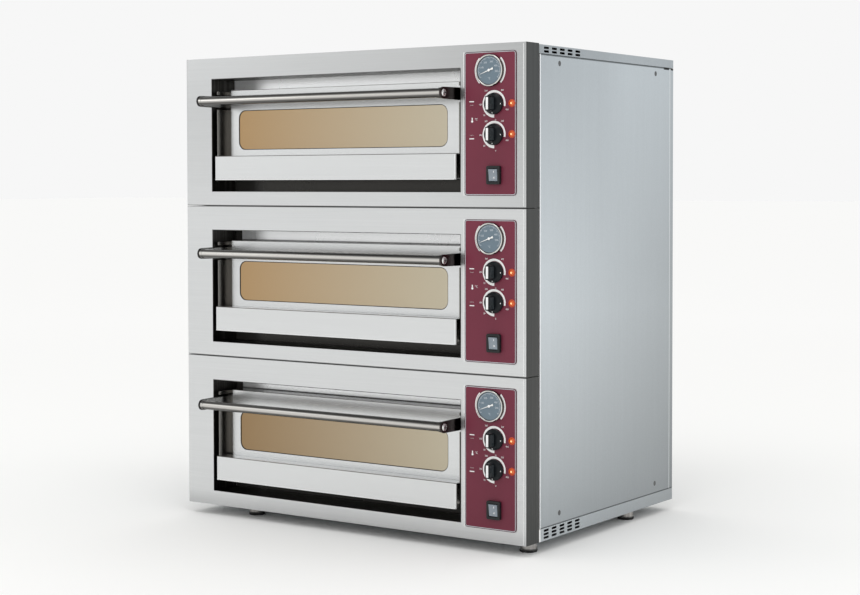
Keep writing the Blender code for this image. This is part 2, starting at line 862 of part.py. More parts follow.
def tray(name, z, skirt_up):
    """Shallow sheet tray with skirts on the two sides and the back, open at the front."""
    part = block(name, (0.0, WIDTH), (CASING_FRONT, DEPTH), z, 2, SHEET, 1)
    hollow_z = (z[0] + SHEET, z[1] + REACH) if skirt_up else (z[0] - REACH, z[1] - SHEET)
    hollow = block(
        f"{name}_hollow",
        inset((0.0, WIDTH), SHEET),
        (CASING_FRONT - REACH, DEPTH - SHEET),
        hollow_z,
    )
    cut(part, hollow)
    return part


def build_top_cover():
    top = BODY_HEIGHT - COVER_DROP
    cover = tray("top_cover", (top - COVER_SKIRT, top), skirt_up=False)
    middle = top - COVER_SKIRT / 2 - PLAY
    rows = (middle - SLOT_ROW_PITCH / 2, middle + SLOT_ROW_PITCH / 2)
    for side, x in enumerate((0.0, WIDTH)):
        cut(cover, slot_cutter(f"top_cover_slots_{side}", x, rows))
    return as_part(cover, SATIN_PANEL)


def build_base_tray():
    base = tray("base_tray", (0.0, TRAY_SKIRT), skirt_up=True)
    middle = TRAY_SKIRT / 2 + PLAY
    rows = (middle - SLOT_ROW_PITCH, middle, middle + SLOT_ROW_PITCH)
    for side, x in enumerate((0.0, WIDTH)):
        cut(base, slot_cutter(f"base_tray_slots_{side}", x, rows))
    for x in FOOT_X:
        for depth in FOOT_DEPTH:
            hole = cylinder(
                f"base_tray_stud_hole_{x:.3f}_{depth:.3f}",
                STUD_RADIUS + PLAY,
                place(x, depth, 0.0),
                UPRIGHT,
                (-REACH, REACH),
            )
            cut(base, hole)
    return as_part(base, SATIN_PANEL)


def side_heights():
    return (TRAY_SKIRT + PANEL_GAP, BODY_HEIGHT - COVER_DROP - COVER_SKIRT - PANEL_GAP)


def build_side_panels():
    """One full-height sheet on each side, with a short flange folded in at the front."""
    for side, x in (("left", (0.0, SHEET)), ("right", (WIDTH - SHEET, WIDTH))):
        name = f"side_panel_{side}"
        panel = block(
            name, x, (CASING_FRONT, DEPTH - REAR_RETURN - PANEL_GAP), side_heights()
        )
        flange_x = (0.0, SIDE_FLANGE) if side == "left" else (WIDTH - SIDE_FLANGE, WIDTH)
        flange = block(
            f"{name}_flange", flange_x, (CASING_FRONT, CASING_FRONT + SHEET), side_heights()
        )
        join(panel, flange)
        as_part(panel, SATIN_PANEL)


def build_rear_panel():
    """Back sheet with side returns and the gland of the supply cable."""
    name = "rear_panel"
    panel = block(name, (0.0, WIDTH), (DEPTH - REAR_RETURN, DEPTH), side_heights(), 2, SHEET, 1)
    hollow = block(
        f"{name}_hollow",
        inset((0.0, WIDTH), SHEET),
        (DEPTH - REAR_RETURN - REACH, DEPTH - SHEET),
        (0.0, BODY_HEIGHT),
    )
    where = place(GLAND_X, DEPTH, GLAND_Z)
    gland = turned(
        f"{name}_gland", GLAND_PROFILE, where, BACK_FACING, closed=True, steps=GLAND_STEPS
    )
    bore = cylinder(
        f"{name}_bore", GLAND_BORE, where, BACK_FACING, (-REACH, REACH / 2), steps=GLAND_STEPS
    )
    cut(panel, hollow)
    join(panel, gland)
    cut(panel, bore)
    return as_part(panel, SATIN_PANEL)


def build_feet():
    """Turned levelling feet, each with a threaded stud up into the base tray."""
    for row, depth in zip(("front", "rear"), FOOT_DEPTH):
        for side, x in zip(("left", "right"), FOOT_X):
            foot = turned(f"foot_{row}_{side}", FOOT_PROFILE, place(x, depth, 0.0), UPRIGHT)
            as_part(foot, STAINLESS)


def build_deck(deck):
    build_fascia(deck)
    build_chamber(deck)
    build_stone(deck)
    build_heating_elements(deck)
    door = pivot_at(
        f"{deck.name}_door_pivot", sum(DOOR_X) / 2, PIVOT_DEPTH, deck.floor + PIVOT_Z
    )
    build_door_skin(deck, door)
    build_door_liner(deck, door)
    build_door_glass(deck, door)
    build_handle(deck, door)
    build_control_plate(deck)
    build_thermometer(deck)
    build_needle(deck)
    for name, height in KNOB_Z.items():
        build_knob(deck, name, height)
    build_switch(deck)


clear_scene()
OVEN = new_collection("deck_oven")
TOOLS = new_collection("cutters")
for each_deck in DECKS:
    build_deck(each_deck)
build_top_cover()
build_base_tray()
build_side_panels()
build_rear_panel()
build_feet()
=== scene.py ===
import math

import bmesh
import bpy
from mathutils import Matrix, Vector


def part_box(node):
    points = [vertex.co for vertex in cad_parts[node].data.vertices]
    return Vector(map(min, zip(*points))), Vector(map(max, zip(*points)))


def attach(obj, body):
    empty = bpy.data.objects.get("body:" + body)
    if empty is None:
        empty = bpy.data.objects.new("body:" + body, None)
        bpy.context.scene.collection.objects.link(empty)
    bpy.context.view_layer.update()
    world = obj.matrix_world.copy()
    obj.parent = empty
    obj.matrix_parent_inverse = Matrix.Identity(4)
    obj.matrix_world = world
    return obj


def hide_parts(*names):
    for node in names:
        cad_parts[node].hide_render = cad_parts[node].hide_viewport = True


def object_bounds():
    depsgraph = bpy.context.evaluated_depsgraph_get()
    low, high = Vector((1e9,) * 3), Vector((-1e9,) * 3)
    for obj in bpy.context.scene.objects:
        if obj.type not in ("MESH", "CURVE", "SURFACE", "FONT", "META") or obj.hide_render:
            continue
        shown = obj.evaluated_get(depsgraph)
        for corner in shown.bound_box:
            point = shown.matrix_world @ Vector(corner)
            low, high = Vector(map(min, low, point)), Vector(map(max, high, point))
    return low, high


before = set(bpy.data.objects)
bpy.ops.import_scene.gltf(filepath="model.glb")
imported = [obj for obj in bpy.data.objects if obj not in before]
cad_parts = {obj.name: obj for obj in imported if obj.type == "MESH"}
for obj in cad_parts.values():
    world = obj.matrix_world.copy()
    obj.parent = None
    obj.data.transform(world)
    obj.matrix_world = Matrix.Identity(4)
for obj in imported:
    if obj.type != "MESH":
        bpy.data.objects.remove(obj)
CAD_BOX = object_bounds()

ROOT = "oven_body"
DECKS = ("bottom", "middle", "top")
HEATS = ("top", "bottom")
FRONT = Vector((0.0, -1.0, 0.0))
BACK = Vector((0.0, 1.0, 0.0))
RIGHT = Vector((1.0, 0.0, 0.0))
LEFT = Vector((-1.0, 0.0, 0.0))
UP = Vector((0.0, 0.0, 1.0))

# Lengths in metres, from the CAD or fitted to it.
GLAND_LENGTH = 0.022
REAR_Y = CAD_BOX[1].y - GLAND_LENGTH
RIGHT_X = CAD_BOX[1].x
CASING_FRONT = 0.054
FRONT_EDGE = 0.0026
DECK_SEAM = 0.0015
OPENING_RIGHT_LEFT = (0.0785, 0.7765)
OPENING_BOTTOM_TOP = (0.033, 0.295)
APRON_HEIGHT = 0.056
SKIN_STEP = 0.0018
GLASS_MARGIN = 0.009
ARM_NOSE_RADIUS = 0.0125
PRINT_LIFT = 0.0002


# ---------------- places read from the frame


def centre_of(node):
    low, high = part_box(node)
    return (low + high) / 2


class DeckPlaces:
    """Where the parts of one deck are, in the frame's coordinates."""

    def __init__(self, name):
        self.door = f"{name}_door"
        self.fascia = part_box(f"{name}_fascia")
        self.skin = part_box(f"{name}_door_skin")
        self.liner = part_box(f"{name}_door_liner")
        self.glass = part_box(f"{name}_door_glass")
        self.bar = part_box(f"{name}_handle_bar")
        self.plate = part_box(f"{name}_control_plate")
        self.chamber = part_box(f"{name}_chamber")
        self.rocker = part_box(f"{name}_switch_rocker")
        self.arms = {side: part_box(f"{name}_handle_arm_{side}") for side in ("left", "right")}
        self.gauge = centre_of(f"{name}_thermometer")
        self.knobs = {side: centre_of(f"{name}_knob_{side}_heat") for side in HEATS}
        self.plate_y = self.plate[0].y
        self.front_y = self.fascia[0].y
        self.face_y = self.glass[0].y - SKIN_STEP
        self.seam = 0.0 if name == "bottom" else DECK_SEAM / 2
        self.door_x = (self.skin[0].x + self.skin[1].x) / 2


PLACES = {name: DeckPlaces(name) for name in DECKS}
FRONT_Y = PLACES["middle"].front_y


# ---------------- camera, light and floor

CAMERA_PLACE = (2.3657, -3.4267, 0.7858)
CAMERA_TURN, CAMERA_TILT, CAMERA_ROLL = 34.488, 88.034, -0.103
SENSOR_WIDTH = 36.0
LENS = 73.68
LENS_SHIFT_Y = -0.0651
CLIP_END = 100.0

WHITE_LIGHT = (1.0, 1.0, 1.0)
COOL_LIGHT = (0.93, 0.97, 1.0)
SOFTBOXES = (
    ("front_left_softbox", (-3.4, -3.0, 2.2), (0.0, 0.0, 0.6), (1.6, 1.8), 9.0, WHITE_LIGHT),
    ("side_softbox", (3.8, 1.8, 1.9), (0.4, 0.1, 0.6), (1.4, 1.8), 8.0, COOL_LIGHT),
    ("overhead_softbox", (0.6, -1.4, 3.2), (0.0, 0.0, 0.6), (1.8, 1.4), 14.0, WHITE_LIGHT),
)

BACKDROP = (0.93, 0.93, 0.93)
EVEN = (0.96, 0.96, 0.95)
NEAR_SIDE = (0.97, 0.97, 0.96)
FAR_SIDE = (0.86, 0.90, 0.93)
CEILING = (0.30, 0.30, 0.30)
MIRRORED_BLENDS = (("Y", -0.9, 0.9, FAR_SIDE), ("Z", 0.35, 0.80, CEILING))

FLOOR_HALF = 60.0
FLOOR_NEAR = (0.94, 0.94, 0.935)
FLOOR_FAR = (0.985, 0.985, 0.985)
FLOOR_BLEND = (1.2, 6.0)
FLOOR_ROUGHNESS = 0.9


def show(obj):
    bpy.context.scene.collection.objects.link(obj)


def make_camera():
    """Long lens, to the right of the front and a little below the top of the middle deck."""
    data = bpy.data.cameras.new("camera")
    data.sensor_width = SENSOR_WIDTH
    data.lens = LENS
    data.shift_y = LENS_SHIFT_Y
    data.clip_end = CLIP_END
    camera = bpy.data.objects.new("camera", data)
    turn = Matrix.Rotation(math.radians(CAMERA_TURN), 4, "Z")
    tilt = Matrix.Rotation(math.radians(CAMERA_TILT), 4, "X")
    roll = Matrix.Rotation(math.radians(CAMERA_ROLL), 4, "Z")
    camera.matrix_world = Matrix.Translation(CAMERA_PLACE) @ turn @ tilt @ roll
    show(camera)
    bpy.context.scene.camera = camera


def area_light(name, place, target, size, power, color):
    data = bpy.data.lights.new(name, "AREA")
    data.shape = "RECTANGLE"
    data.size, data.size_y = size
    data.energy = power
    data.color = color
    light = bpy.data.objects.new(name, data)
    light.location = place
    aim = Vector(target) - Vector(place)
    light.rotation_euler = aim.to_track_quat("-Z", "Y").to_euler()
    light.visible_camera = False
    show(light)


def background(nodes, color):
    node = nodes.new("ShaderNodeBackground")
    node.inputs["Color"].default_value = (*color, 1.0)
    return node


def mirrored_color(nodes, links):
    """What metal mirrors, by direction: a cooler far side and a darker ceiling."""
    direction = nodes.new("ShaderNodeTexCoord").outputs["Generated"]
    split = nodes.new("ShaderNodeSeparateXYZ")
    links.new(direction, split.inputs["Vector"])
    color = nodes.new("ShaderNodeRGB").outputs[0]
    color.default_value = (*NEAR_SIDE, 1.0)
    for axis, low, high, other in MIRRORED_BLENDS:
        share = nodes.new("ShaderNodeMapRange")
        links.new(split.outputs[axis], share.inputs["Value"])
        share.inputs["From Min"].default_value = low
        share.inputs["From Max"].default_value = high
        mix = nodes.new("ShaderNodeMix")
        mix.data_type = "RGBA"
        links.new(share.outputs["Result"], mix.inputs["Factor"])
        links.new(color, mix.inputs[6])
        mix.inputs[7].default_value = (*other, 1.0)
        color = mix.outputs[2]
    return color


def make_world():
    """A white studio: the backdrop is plain, the light on matt things is even, and metal mirrors
    sides of its own."""
    world = bpy.data.worlds.new("studio")
    bpy.context.scene.world = world
    world.use_nodes = True
    nodes, links = world.node_tree.nodes, world.node_tree.links
    mirrored = background(nodes, NEAR_SIDE)
    links.new(mirrored_color(nodes, links), mirrored.inputs["Color"])
    even, seen = background(nodes, EVEN), background(nodes, BACKDROP)
    path = nodes.new("ShaderNodeLightPath")
    result = even
    for ray, other in (("Is Glossy Ray", mirrored), ("Is Camera Ray", seen)):
        mix = nodes.new("ShaderNodeMixShader")
        links.new(path.outputs[ray], mix.inputs["Fac"])
        links.new(result.outputs[0], mix.inputs[1])
        links.new(other.outputs[0], mix.inputs[2])
        result = mix
    links.new(result.outputs[0], nodes["World Output"].inputs["Surface"])


def make_floor():
    """A plain pale floor, a little paler far away, so that it runs into the backdrop."""
    shape = bmesh.new()
    bmesh.ops.create_grid(shape, x_segments=1, y_segments=1, size=FLOOR_HALF)
    mesh = bpy.data.meshes.new("studio_floor")
    shape.to_mesh(mesh)
    shape.free()
    floor = bpy.data.objects.new("studio_floor", mesh)
    show(floor)
    look = Look("studio_floor", FLOOR_NEAR, FLOOR_ROUGHNESS, Specular_IOR_Level=0.0)
    away = look.add("ShaderNodeVectorMath", {"operation": "LENGTH"})
    look.feed(away.inputs[0], look.position)
    look.tint(look.ramp(away.outputs["Value"], *FLOOR_BLEND), FLOOR_FAR)
    mesh.materials.append(look.done())


def make_studio():
    bpy.context.scene.view_settings.view_transform = "Standard"
    make_camera()
    make_world()
    make_floor()
    for softbox in SOFTBOXES:
        area_light(*softbox)


# ---------------- material building

SOFT_EDGE = 0.0004


class Look:
    """A Principled material whose colour, roughness and bump come from small node chains."""

    def __init__(self, name, color, roughness, metallic=0.0, **sockets):
        self.material = bpy.data.materials.new(name)
        self.material.use_nodes = True
        self.tree = self.material.node_tree
        self.shader = self.tree.nodes["Principled BSDF"]
        self.color = self.rgb(color)
        self.roughness = None
        self.shader.inputs["Roughness"].default_value = roughness
        self.shader.inputs["Metallic"].default_value = metallic
        for socket, value in sockets.items():
            self.shader.inputs[socket.replace("_", " ")].default_value = value
        self.position = self.add("ShaderNodeTexCoord").outputs["Object"]
        split = self.add("ShaderNodeSeparateXYZ", Vector=self.position)
        self.x, self.y, self.z = (split.outputs[i] for i in range(3))

    def add(self, kind, settings=None, **inputs):
        node = self.tree.nodes.new(kind)
        for key, value in (settings or {}).items():
            setattr(node, key, value)
        for key, value in inputs.items():
            self.feed(node.inputs[key.replace("_", " ")], value)
        return node

    def feed(self, socket, value):
        if isinstance(value, bpy.types.NodeSocket):
            self.tree.links.new(value, socket)
        else:
            socket.default_value = value

    def metal(self, mask):
        self.feed(self.shader.inputs["Metallic"], mask)

    def rgb(self, color):
        node = self.tree.nodes.new("ShaderNodeRGB")
        node.outputs[0].default_value = (*color, 1.0)
        return node.outputs[0]

    def math(self, operation, first, second=0.0):
        node = self.tree.nodes.new("ShaderNodeMath")
        node.operation = operation
        self.feed(node.inputs[0], first)
        self.feed(node.inputs[1], second)
        return node.outputs[0]

    def away(self, value, middle):
        """How far a value is from a middle one."""
        return self.math("ABSOLUTE", self.math("SUBTRACT", value, middle))

    def ramp(self, value, low, high):
        """0 below low, 1 above high, straight between; low may be above high."""
        node = self.add("ShaderNodeMapRange", {"clamp": True})
        self.feed(node.inputs["Value"], value)
        node.inputs["From Min"].default_value = low
        node.inputs["From Max"].default_value = high
        return node.outputs["Result"]

    def inside(self, value, low, high):
        """1 between low and high, with soft edges."""
        rising = self.ramp(value, low - SOFT_EDGE, low)
        falling = self.ramp(value, high + SOFT_EDGE, high)
        return self.math("MULTIPLY", rising, falling)

    def both(self, *masks):
        result = masks[0]
        for mask in masks[1:]:
            result = self.math("MULTIPLY", result, mask)
        return result

    def noise(self, scale, detail=2.0):
        """Noise with one scale, or one for each axis: larger is finer."""
        if isinstance(scale, float):
            scale = (scale, scale, scale)
        stretch = self.add("ShaderNodeMapping", Vector=self.position, Scale=scale)
        made = self.add(
            "ShaderNodeTexNoise", Vector=stretch.outputs["Vector"], Scale=1.0, Detail=detail
        )
        return made.outputs["Fac"]

    def tint(self, mask, color, share=1.0):
        """Mixes a colour in where the mask is 1."""
        amount = self.math("MULTIPLY", mask, share) if share != 1.0 else mask
        node = self.add("ShaderNodeMix", {"data_type": "RGBA"})
        self.feed(node.inputs["Factor"], amount)
        self.feed(node.inputs[6], self.color)
        self.feed(node.inputs[7], (*color, 1.0))
        self.color = node.outputs[2]

    def between(self, value, low, high):
        """low where value is 0 and high where it is 1."""
        node = self.add("ShaderNodeMapRange")
        self.feed(node.inputs["Value"], value)
        node.inputs["To Min"].default_value = low
        node.inputs["To Max"].default_value = high
        return node.outputs["Result"]

    def shade(self, value, low, high):
        """Multiplies the colour by low where value is 0 and by high where it is 1."""
        scaled = self.add("ShaderNodeVectorMath", {"operation": "SCALE"})
        self.feed(scaled.inputs[0], self.color)
        self.feed(scaled.inputs["Scale"], self.between(value, low, high))
        self.color = scaled.outputs["Vector"]

    def fade(self, axis, start, end, factor):
        """Multiplies the colour by a factor from end on, growing from nothing at start."""
        self.shade(self.ramp(getattr(self, axis), start, end), 1.0, factor)

    def rough(self, value, low, high):
        self.roughness = self.between(value, low, high)

    def bump(self, height, strength, distance):
        node = self.add("ShaderNodeBump", Height=height, Strength=strength, Distance=distance)
        self.tree.links.new(node.outputs["Normal"], self.shader.inputs["Normal"])

    def done(self):
        self.tree.links.new(self.color, self.shader.inputs["Base Color"])
        if self.roughness is not None:
            self.tree.links.new(self.roughness, self.shader.inputs["Roughness"])
        return self.material


# ---------------- looks of the CAD nodes

# Noise scales along each axis: brushing along X or Z, fine and broad.
ALONG_X = (5.0, 900.0, 900.0)
ALONG_Z = (900.0, 900.0, 5.0)
BROAD_X = (1.6, 130.0, 130.0)
BROAD_Z = (130.0, 130.0, 1.6)
HAZE = 3.0
BRUSH_BUMP = (0.12, 0.0001)

FRONT_STEEL = (0.655, 0.665, 0.67)
# Polished side wraps, painted near-black as a painted dark reflection, with streaks of painted
# reflection.
SIDE_WRAP_DARK_REFLECTION = (0.043, 0.044, 0.043)
SIDE_WRAP_REFLECTION_STREAK = (0.14, 0.14, 0.135)
# Painted shade on the door recess's inner faces, and streaks of painted reflection on them.
RECESS_PAINTED_SHADE = (0.075, 0.072, 0.067)
RECESS_PAINTED_SHEEN = (0.17, 0.165, 0.155)
FRONT_SEAM = (0.10, 0.10, 0.10)
CASING_STEEL = (0.595, 0.632, 0.654)
CASING_SEAM = (0.10, 0.11, 0.115)
CASING_GAP = (0.01, 0.01, 0.01)
# Painted highlight along the rear return's fold.
CASING_FOLD_HIGHLIGHT = (0.85, 0.87, 0.88)
# Painted highlight along the side panels' front edge.
CASING_EDGE_HIGHLIGHT = (1.0, 1.0, 1.0)
GLAND_BLACK = (0.02, 0.02, 0.02)
SKIN_STEEL = (0.69, 0.70, 0.705)
# Painted shade on the door skin's ledges and edges that face up or inwards, and a rippled painted
# reflection on them.
SKIN_LIP_SHADE = (0.07, 0.068, 0.065)
SKIN_LIP_LOW_DECK_SHADE = (0.30, 0.30, 0.30)
SKIN_LIP_REFLECTION = (0.62, 0.63, 0.63)
PAN_STEEL = (0.27, 0.26, 0.245)
# Painted highlights on the door pan's cheek edges and front corners.
PAN_CORNER_HIGHLIGHT = (0.40, 0.39, 0.37)
PAN_EDGE_HIGHLIGHT = (0.50, 0.49, 0.47)
# The handle arms are one steel, painted lit grey on the left and near-black on the right, the
# right as a painted dark reflection of the recess wall beside it.
ARM_LEFT_LIT_STEEL = (0.34, 0.338, 0.332)
ARM_RIGHT_SHADED_STEEL = (0.055, 0.045, 0.044)
ARM_CUT_EDGE = (0.03, 0.03, 0.03)
# Near-white for the flange: partly the steel, partly a painted bright reflection; painted shade at
# its left end and a painted shadow below the door.
MOUTH_STEEL_AND_REFLECTION = (0.94, 0.95, 0.96)
MOUTH_SHADOW = (0.26, 0.26, 0.26)
MOUTH_END_SHADE = (0.05, 0.047, 0.044)
MOUTH_FOOT_SHADOW = (0.050, 0.048, 0.045)
OVEN_STEEL = (0.36, 0.33, 0.29)
HEAT_STAIN = (0.20, 0.15, 0.10)
STONE = (0.56, 0.47, 0.35)
SCORCH = (0.22, 0.16, 0.11)
ELEMENT = (0.10, 0.085, 0.07)
AMBER = (0.43, 0.275, 0.13)
# Painted reflection that pales the amber pane to the right.
AMBER_RIGHT_REFLECTION = (0.53, 0.475, 0.36)
CHROME = (0.60, 0.583, 0.557)
BORDEAUX = (0.172, 0.024, 0.048)
BLACK = (0.012, 0.014, 0.015)
SMOKED = (0.22, 0.26, 0.30)
NEEDLE_WHITE = (0.85, 0.85, 0.84)
GAUGE_METAL = (0.16, 0.23, 0.29)
FOOT_STEEL = (0.36, 0.345, 0.33)
SOLE = (0.012, 0.012, 0.012)

# Axis, start, end and factor of each painted shade on a deck's front: darker towards the top of
# the oven, towards the foot of the bottom deck, and towards the right end of the top deck.
HIGH_PAINTED_SHADE = ("z", 0.70, 0.95, 0.80)
FASCIA_PAINTED_SHADES = {
    "bottom": (HIGH_PAINTED_SHADE, ("z", 0.060, 0.025, 0.75)),
    "middle": (HIGH_PAINTED_SHADE,),
    "top": (HIGH_PAINTED_SHADE, ("x", 0.20, 0.45, 0.90)),
}
FASCIA_WRAP = (0.0016, 0.0006)
FASCIA_BEHIND = (0.0006, 0.0016)
FASCIA_RECESS = (0.022, 0.024, 0.040)
LOWER_SEAM = (0.0018, 0.0010)
UPPER_SEAM = (-0.0014, -0.0008)
SEAM_SHARE = 0.85

# Painted light and shade on the casing: darker towards the rear and the foot, lighter high at the
# back and darker high at the front corner.
CASING_ALONG = (FRONT_Y + 0.05, REAR_Y)
CASING_PAINTED_NEAR_FAR = (1.03, 0.73)
CASING_FOOT_PAINTED_SHADE = ("z", 0.50, 0.02, 0.66)
CASING_HIGH = (0.60, 1.02)
CASING_BACK = (0.0, REAR_Y)
CASING_CORNER = (0.12, FRONT_Y + 0.05)
SKIRT_SHADE, BACK_PAINTED_LIGHT, CORNER_PAINTED_SHADE, TRAY_SHADE, RETURN_SHADE = 0.80, 1.22, 0.74, 1.22, 0.90
EDGE_BLEND = 0.0004
RETURN_WIDTH = (0.0190, 0.0165, 0.0155)
GAP_ENDS = ((0.050, 0.024), (0.014, 0.0))


def brush(look, fine, broad, strength, rough):
    """Brushing: fine streaks in colour and bump, broad ones in colour, and hazy roughness."""
    streaks = look.noise(fine, detail=3.0)
    look.shade(streaks, 1.0 - strength, 1.0 + strength)
    look.shade(look.noise(broad), 1.0 - strength / 2, 1.0 + strength / 2)
    look.rough(look.noise(HAZE, detail=4.0), *rough)
    look.bump(streaks, *BRUSH_BUMP)


def fascia_look(deck):
    """Front stainless: brushed along, with painted shade in places, polished side wraps painted
    dark as a painted reflection, and painted shade and reflection in the door recess.
    """
    low, high = PLACES[deck].fascia
    look = Look(f"{deck}_front_stainless", FRONT_STEEL, 0.30, 1.0)
    brush(look, ALONG_X, BROAD_X, 0.06, (0.26, 0.38))
    # Painted shade by height, and on the top deck towards the right.
    for fade in FASCIA_PAINTED_SHADES[deck]:
        look.fade(*fade)
    if deck != "bottom":
        below = look.ramp(look.z, *(low.z + rise for rise in LOWER_SEAM))
        look.tint(below, FRONT_SEAM, SEAM_SHARE)
    if deck != "top":
        above = look.ramp(look.z, *(high.z + rise for rise in UPPER_SEAM))
        look.tint(above, FRONT_SEAM, SEAM_SHARE)
    across = look.math("ABSOLUTE", look.x)
    side = look.ramp(across, *(RIGHT_X - inset for inset in FASCIA_WRAP))
    opening = recess_mask(look, deck)
    # Painted dark reflection on the side wraps, with painted reflection streaks.
    look.tint(side, SIDE_WRAP_DARK_REFLECTION)
    look.tint(look.both(side, look.noise(BROAD_Z, detail=4.0)), SIDE_WRAP_REFLECTION_STREAK, 0.5)
    # Painted shade in the door recess, with streaks of painted reflection.
    look.tint(opening, RECESS_PAINTED_SHADE)
    sheen = look.ramp(look.noise(BROAD_Z, detail=3.0), 0.48, 0.66)
    look.tint(look.both(opening, sheen), RECESS_PAINTED_SHEEN, 0.7)
    return look.done()


def recess_mask(look, deck):
    """The inner faces of the door opening."""
    place = PLACES[deck]
    low, high = place.fascia
    beside, below, above = FASCIA_RECESS
    return look.both(
        look.ramp(look.y, *(low.y + depth for depth in FASCIA_BEHIND)),
        look.inside(look.x, place.skin[0].x - beside, place.skin[1].x + beside),
        look.inside(look.z, low.z + below, high.z - above),
    )


def casing_look():
    """Side, top and rear sheet: cooler and greyer, with painted shade towards the rear, the foot
    and the high front corner, painted light high at the back, painted highlights on its front edge
    and on the rear fold, its seams dark, and the cable gland in the rear black."""
    foot, head = (corner.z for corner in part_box("side_panel_right"))
    look = Look("casing_stainless", CASING_STEEL, 0.42, 1.0)
    brush(look, ALONG_Z, BROAD_Z, 0.05, (0.38, 0.50))
    look.shade(look.noise(420.0), 0.93, 1.07)
    # Painted shade towards the rear and the foot; painted light high at the back, painted shade
    # high at the front corner.
    look.shade(look.ramp(look.y, *CASING_ALONG), *CASING_PAINTED_NEAR_FAR)
    look.fade(*CASING_FOOT_PAINTED_SHADE)
    high = look.ramp(look.z, *CASING_HIGH)
    look.shade(look.both(high, look.ramp(look.y, *CASING_BACK)), 1.0, BACK_PAINTED_LIGHT)
    look.shade(look.both(high, look.ramp(look.y, *CASING_CORNER)), 1.0, CORNER_PAINTED_SHADE)
    outside = look.ramp(look.math("ABSOLUTE", look.x), RIGHT_X - 0.0010, RIGHT_X - 0.0002)
    skirt = look.both(look.ramp(look.z, head, head + 0.0006), outside)
    look.shade(skirt, 1.0, SKIRT_SHADE)
    look.tint(look.inside(look.z, head - 0.0022, head + 0.0010), CASING_SEAM, 0.8)
    # Lifts the base tray partly back out of the painted shade at the foot.
    look.fade("z", foot + EDGE_BLEND, foot, TRAY_SHADE)
    look.tint(look.inside(look.z, foot - 0.0010, foot + 0.0012), CASING_SEAM, 0.7)
    below = look.ramp(look.z, head + EDGE_BLEND, head)
    draw_rear_return(look, look.both(below, look.ramp(look.z, foot, foot + EDGE_BLEND)))
    gap = look.inside(look.z, head - 0.0040, head + 0.0010)
    for start, end in GAP_ENDS:
        dash = look.inside(look.y, REAR_Y - start, REAR_Y - end)
        look.tint(look.both(gap, dash), CASING_GAP)
    # Painted highlight along the side's front edge.
    edge_y = FRONT_Y + CASING_FRONT
    look.tint(look.both(look.inside(look.y, edge_y, edge_y + FRONT_EDGE), below), CASING_EDGE_HIGHLIGHT)
    gland = look.ramp(look.y, REAR_Y + 0.0003, REAR_Y + 0.0006)
    look.tint(gland, GLAND_BLACK)
    look.metal(look.math("SUBTRACT", 1.0, gland))
    return look.done()


def draw_rear_return(look, height):
    """The rear panel's return at the end of the side: a painted highlight along its fold, and a
    greyer strip.
    """
    fold, strip, full = (REAR_Y - width for width in RETURN_WIDTH)
    look.shade(look.both(height, look.ramp(look.y, strip, full)), 1.0, RETURN_SHADE)
    look.tint(look.both(height, look.inside(look.y, fold, strip)), CASING_FOLD_HIGHLIGHT, 0.8)


def door_skin_look(deck):
    """Brushed front, with painted shade on the edges and ledges that face up or inwards, a rippled
    painted reflection on them, and painted shade high on the left of the top deck's door.
    """
    place = PLACES[deck]
    low, high = place.skin
    look = Look(f"{deck}_door_skin", SKIN_STEEL, 0.24, 1.0)
    brush(look, ALONG_X, BROAD_X, 0.05, (0.20, 0.30))
    # Painted shade on the ledges and edges behind the face, with a rippled painted reflection.
    behind = look.ramp(look.y, place.face_y + 0.0003, place.face_y + 0.0010)
    look.tint(behind, SKIN_LIP_LOW_DECK_SHADE if deck == "bottom" else SKIN_LIP_SHADE)
    lip_reflection = look.ramp(look.noise((6.0, 260.0, 6.0), detail=1.0), 0.45, 0.60)
    look.tint(look.both(behind, lip_reflection), SKIN_LIP_REFLECTION, 0.6)
    if deck == "top":
        # Painted shade high on the left of the top deck's door.
        above = look.ramp(look.z, low.z + 0.150, high.z)
        across = look.ramp(look.x, low.x + 0.45, low.x)
        look.shade(look.both(above, across), 1.0, 0.80)
    return look.done()


def dark_steel(name, color):
    look = Look(name, color, 0.25, 1.0)
    brush(look, ALONG_Z, BROAD_Z, 0.25, (0.18, 0.30))
    return look


def liner_look(deck):
    """Dark pan, with painted highlights on the edges of its cheeks and at its front corners."""
    place = PLACES[deck]
    low, high = place.liner
    half = (high.x - low.x) / 2
    look = dark_steel(f"{deck}_door_pan_steel", PAN_STEEL)
    # Painted highlights at the front corners and along the cheeks' edges.
    corner = look.both(
        look.inside(look.y, low.y + 0.0355, low.y + 0.0385),
        look.ramp(look.away(look.x, place.door_x), half - 0.0145, half - 0.0125),
    )
    look.tint(corner, PAN_CORNER_HIGHLIGHT, 0.7)
    look.tint(look.ramp(look.y, high.y - 0.004, high.y - 0.003), PAN_EDGE_HIGHLIGHT)
    return look.done()


def left_arm_look(deck):
    """Flat arm whose cut edge is darker than its faces."""
    low, high = PLACES[deck].arms["left"]
    look = dark_steel(f"{deck}_arm_steel_left", ARM_LEFT_LIT_STEEL)
    height = look.away(look.z, (low.z + high.z) / 2)
    past_nose = look.math("SUBTRACT", look.y, low.y + ARM_NOSE_RADIUS)
    along = look.math("MINIMUM", past_nose, 0.0)
    squares = [look.math("POWER", height, 2.0), look.math("MULTIPLY", along, along)]
    reach = look.math("SQRT", look.math("ADD", *squares))
    edge = look.ramp(reach, ARM_NOSE_RADIUS - 0.0012, ARM_NOSE_RADIUS - 0.0006)
    look.tint(edge, ARM_CUT_EDGE)
    return look.done()


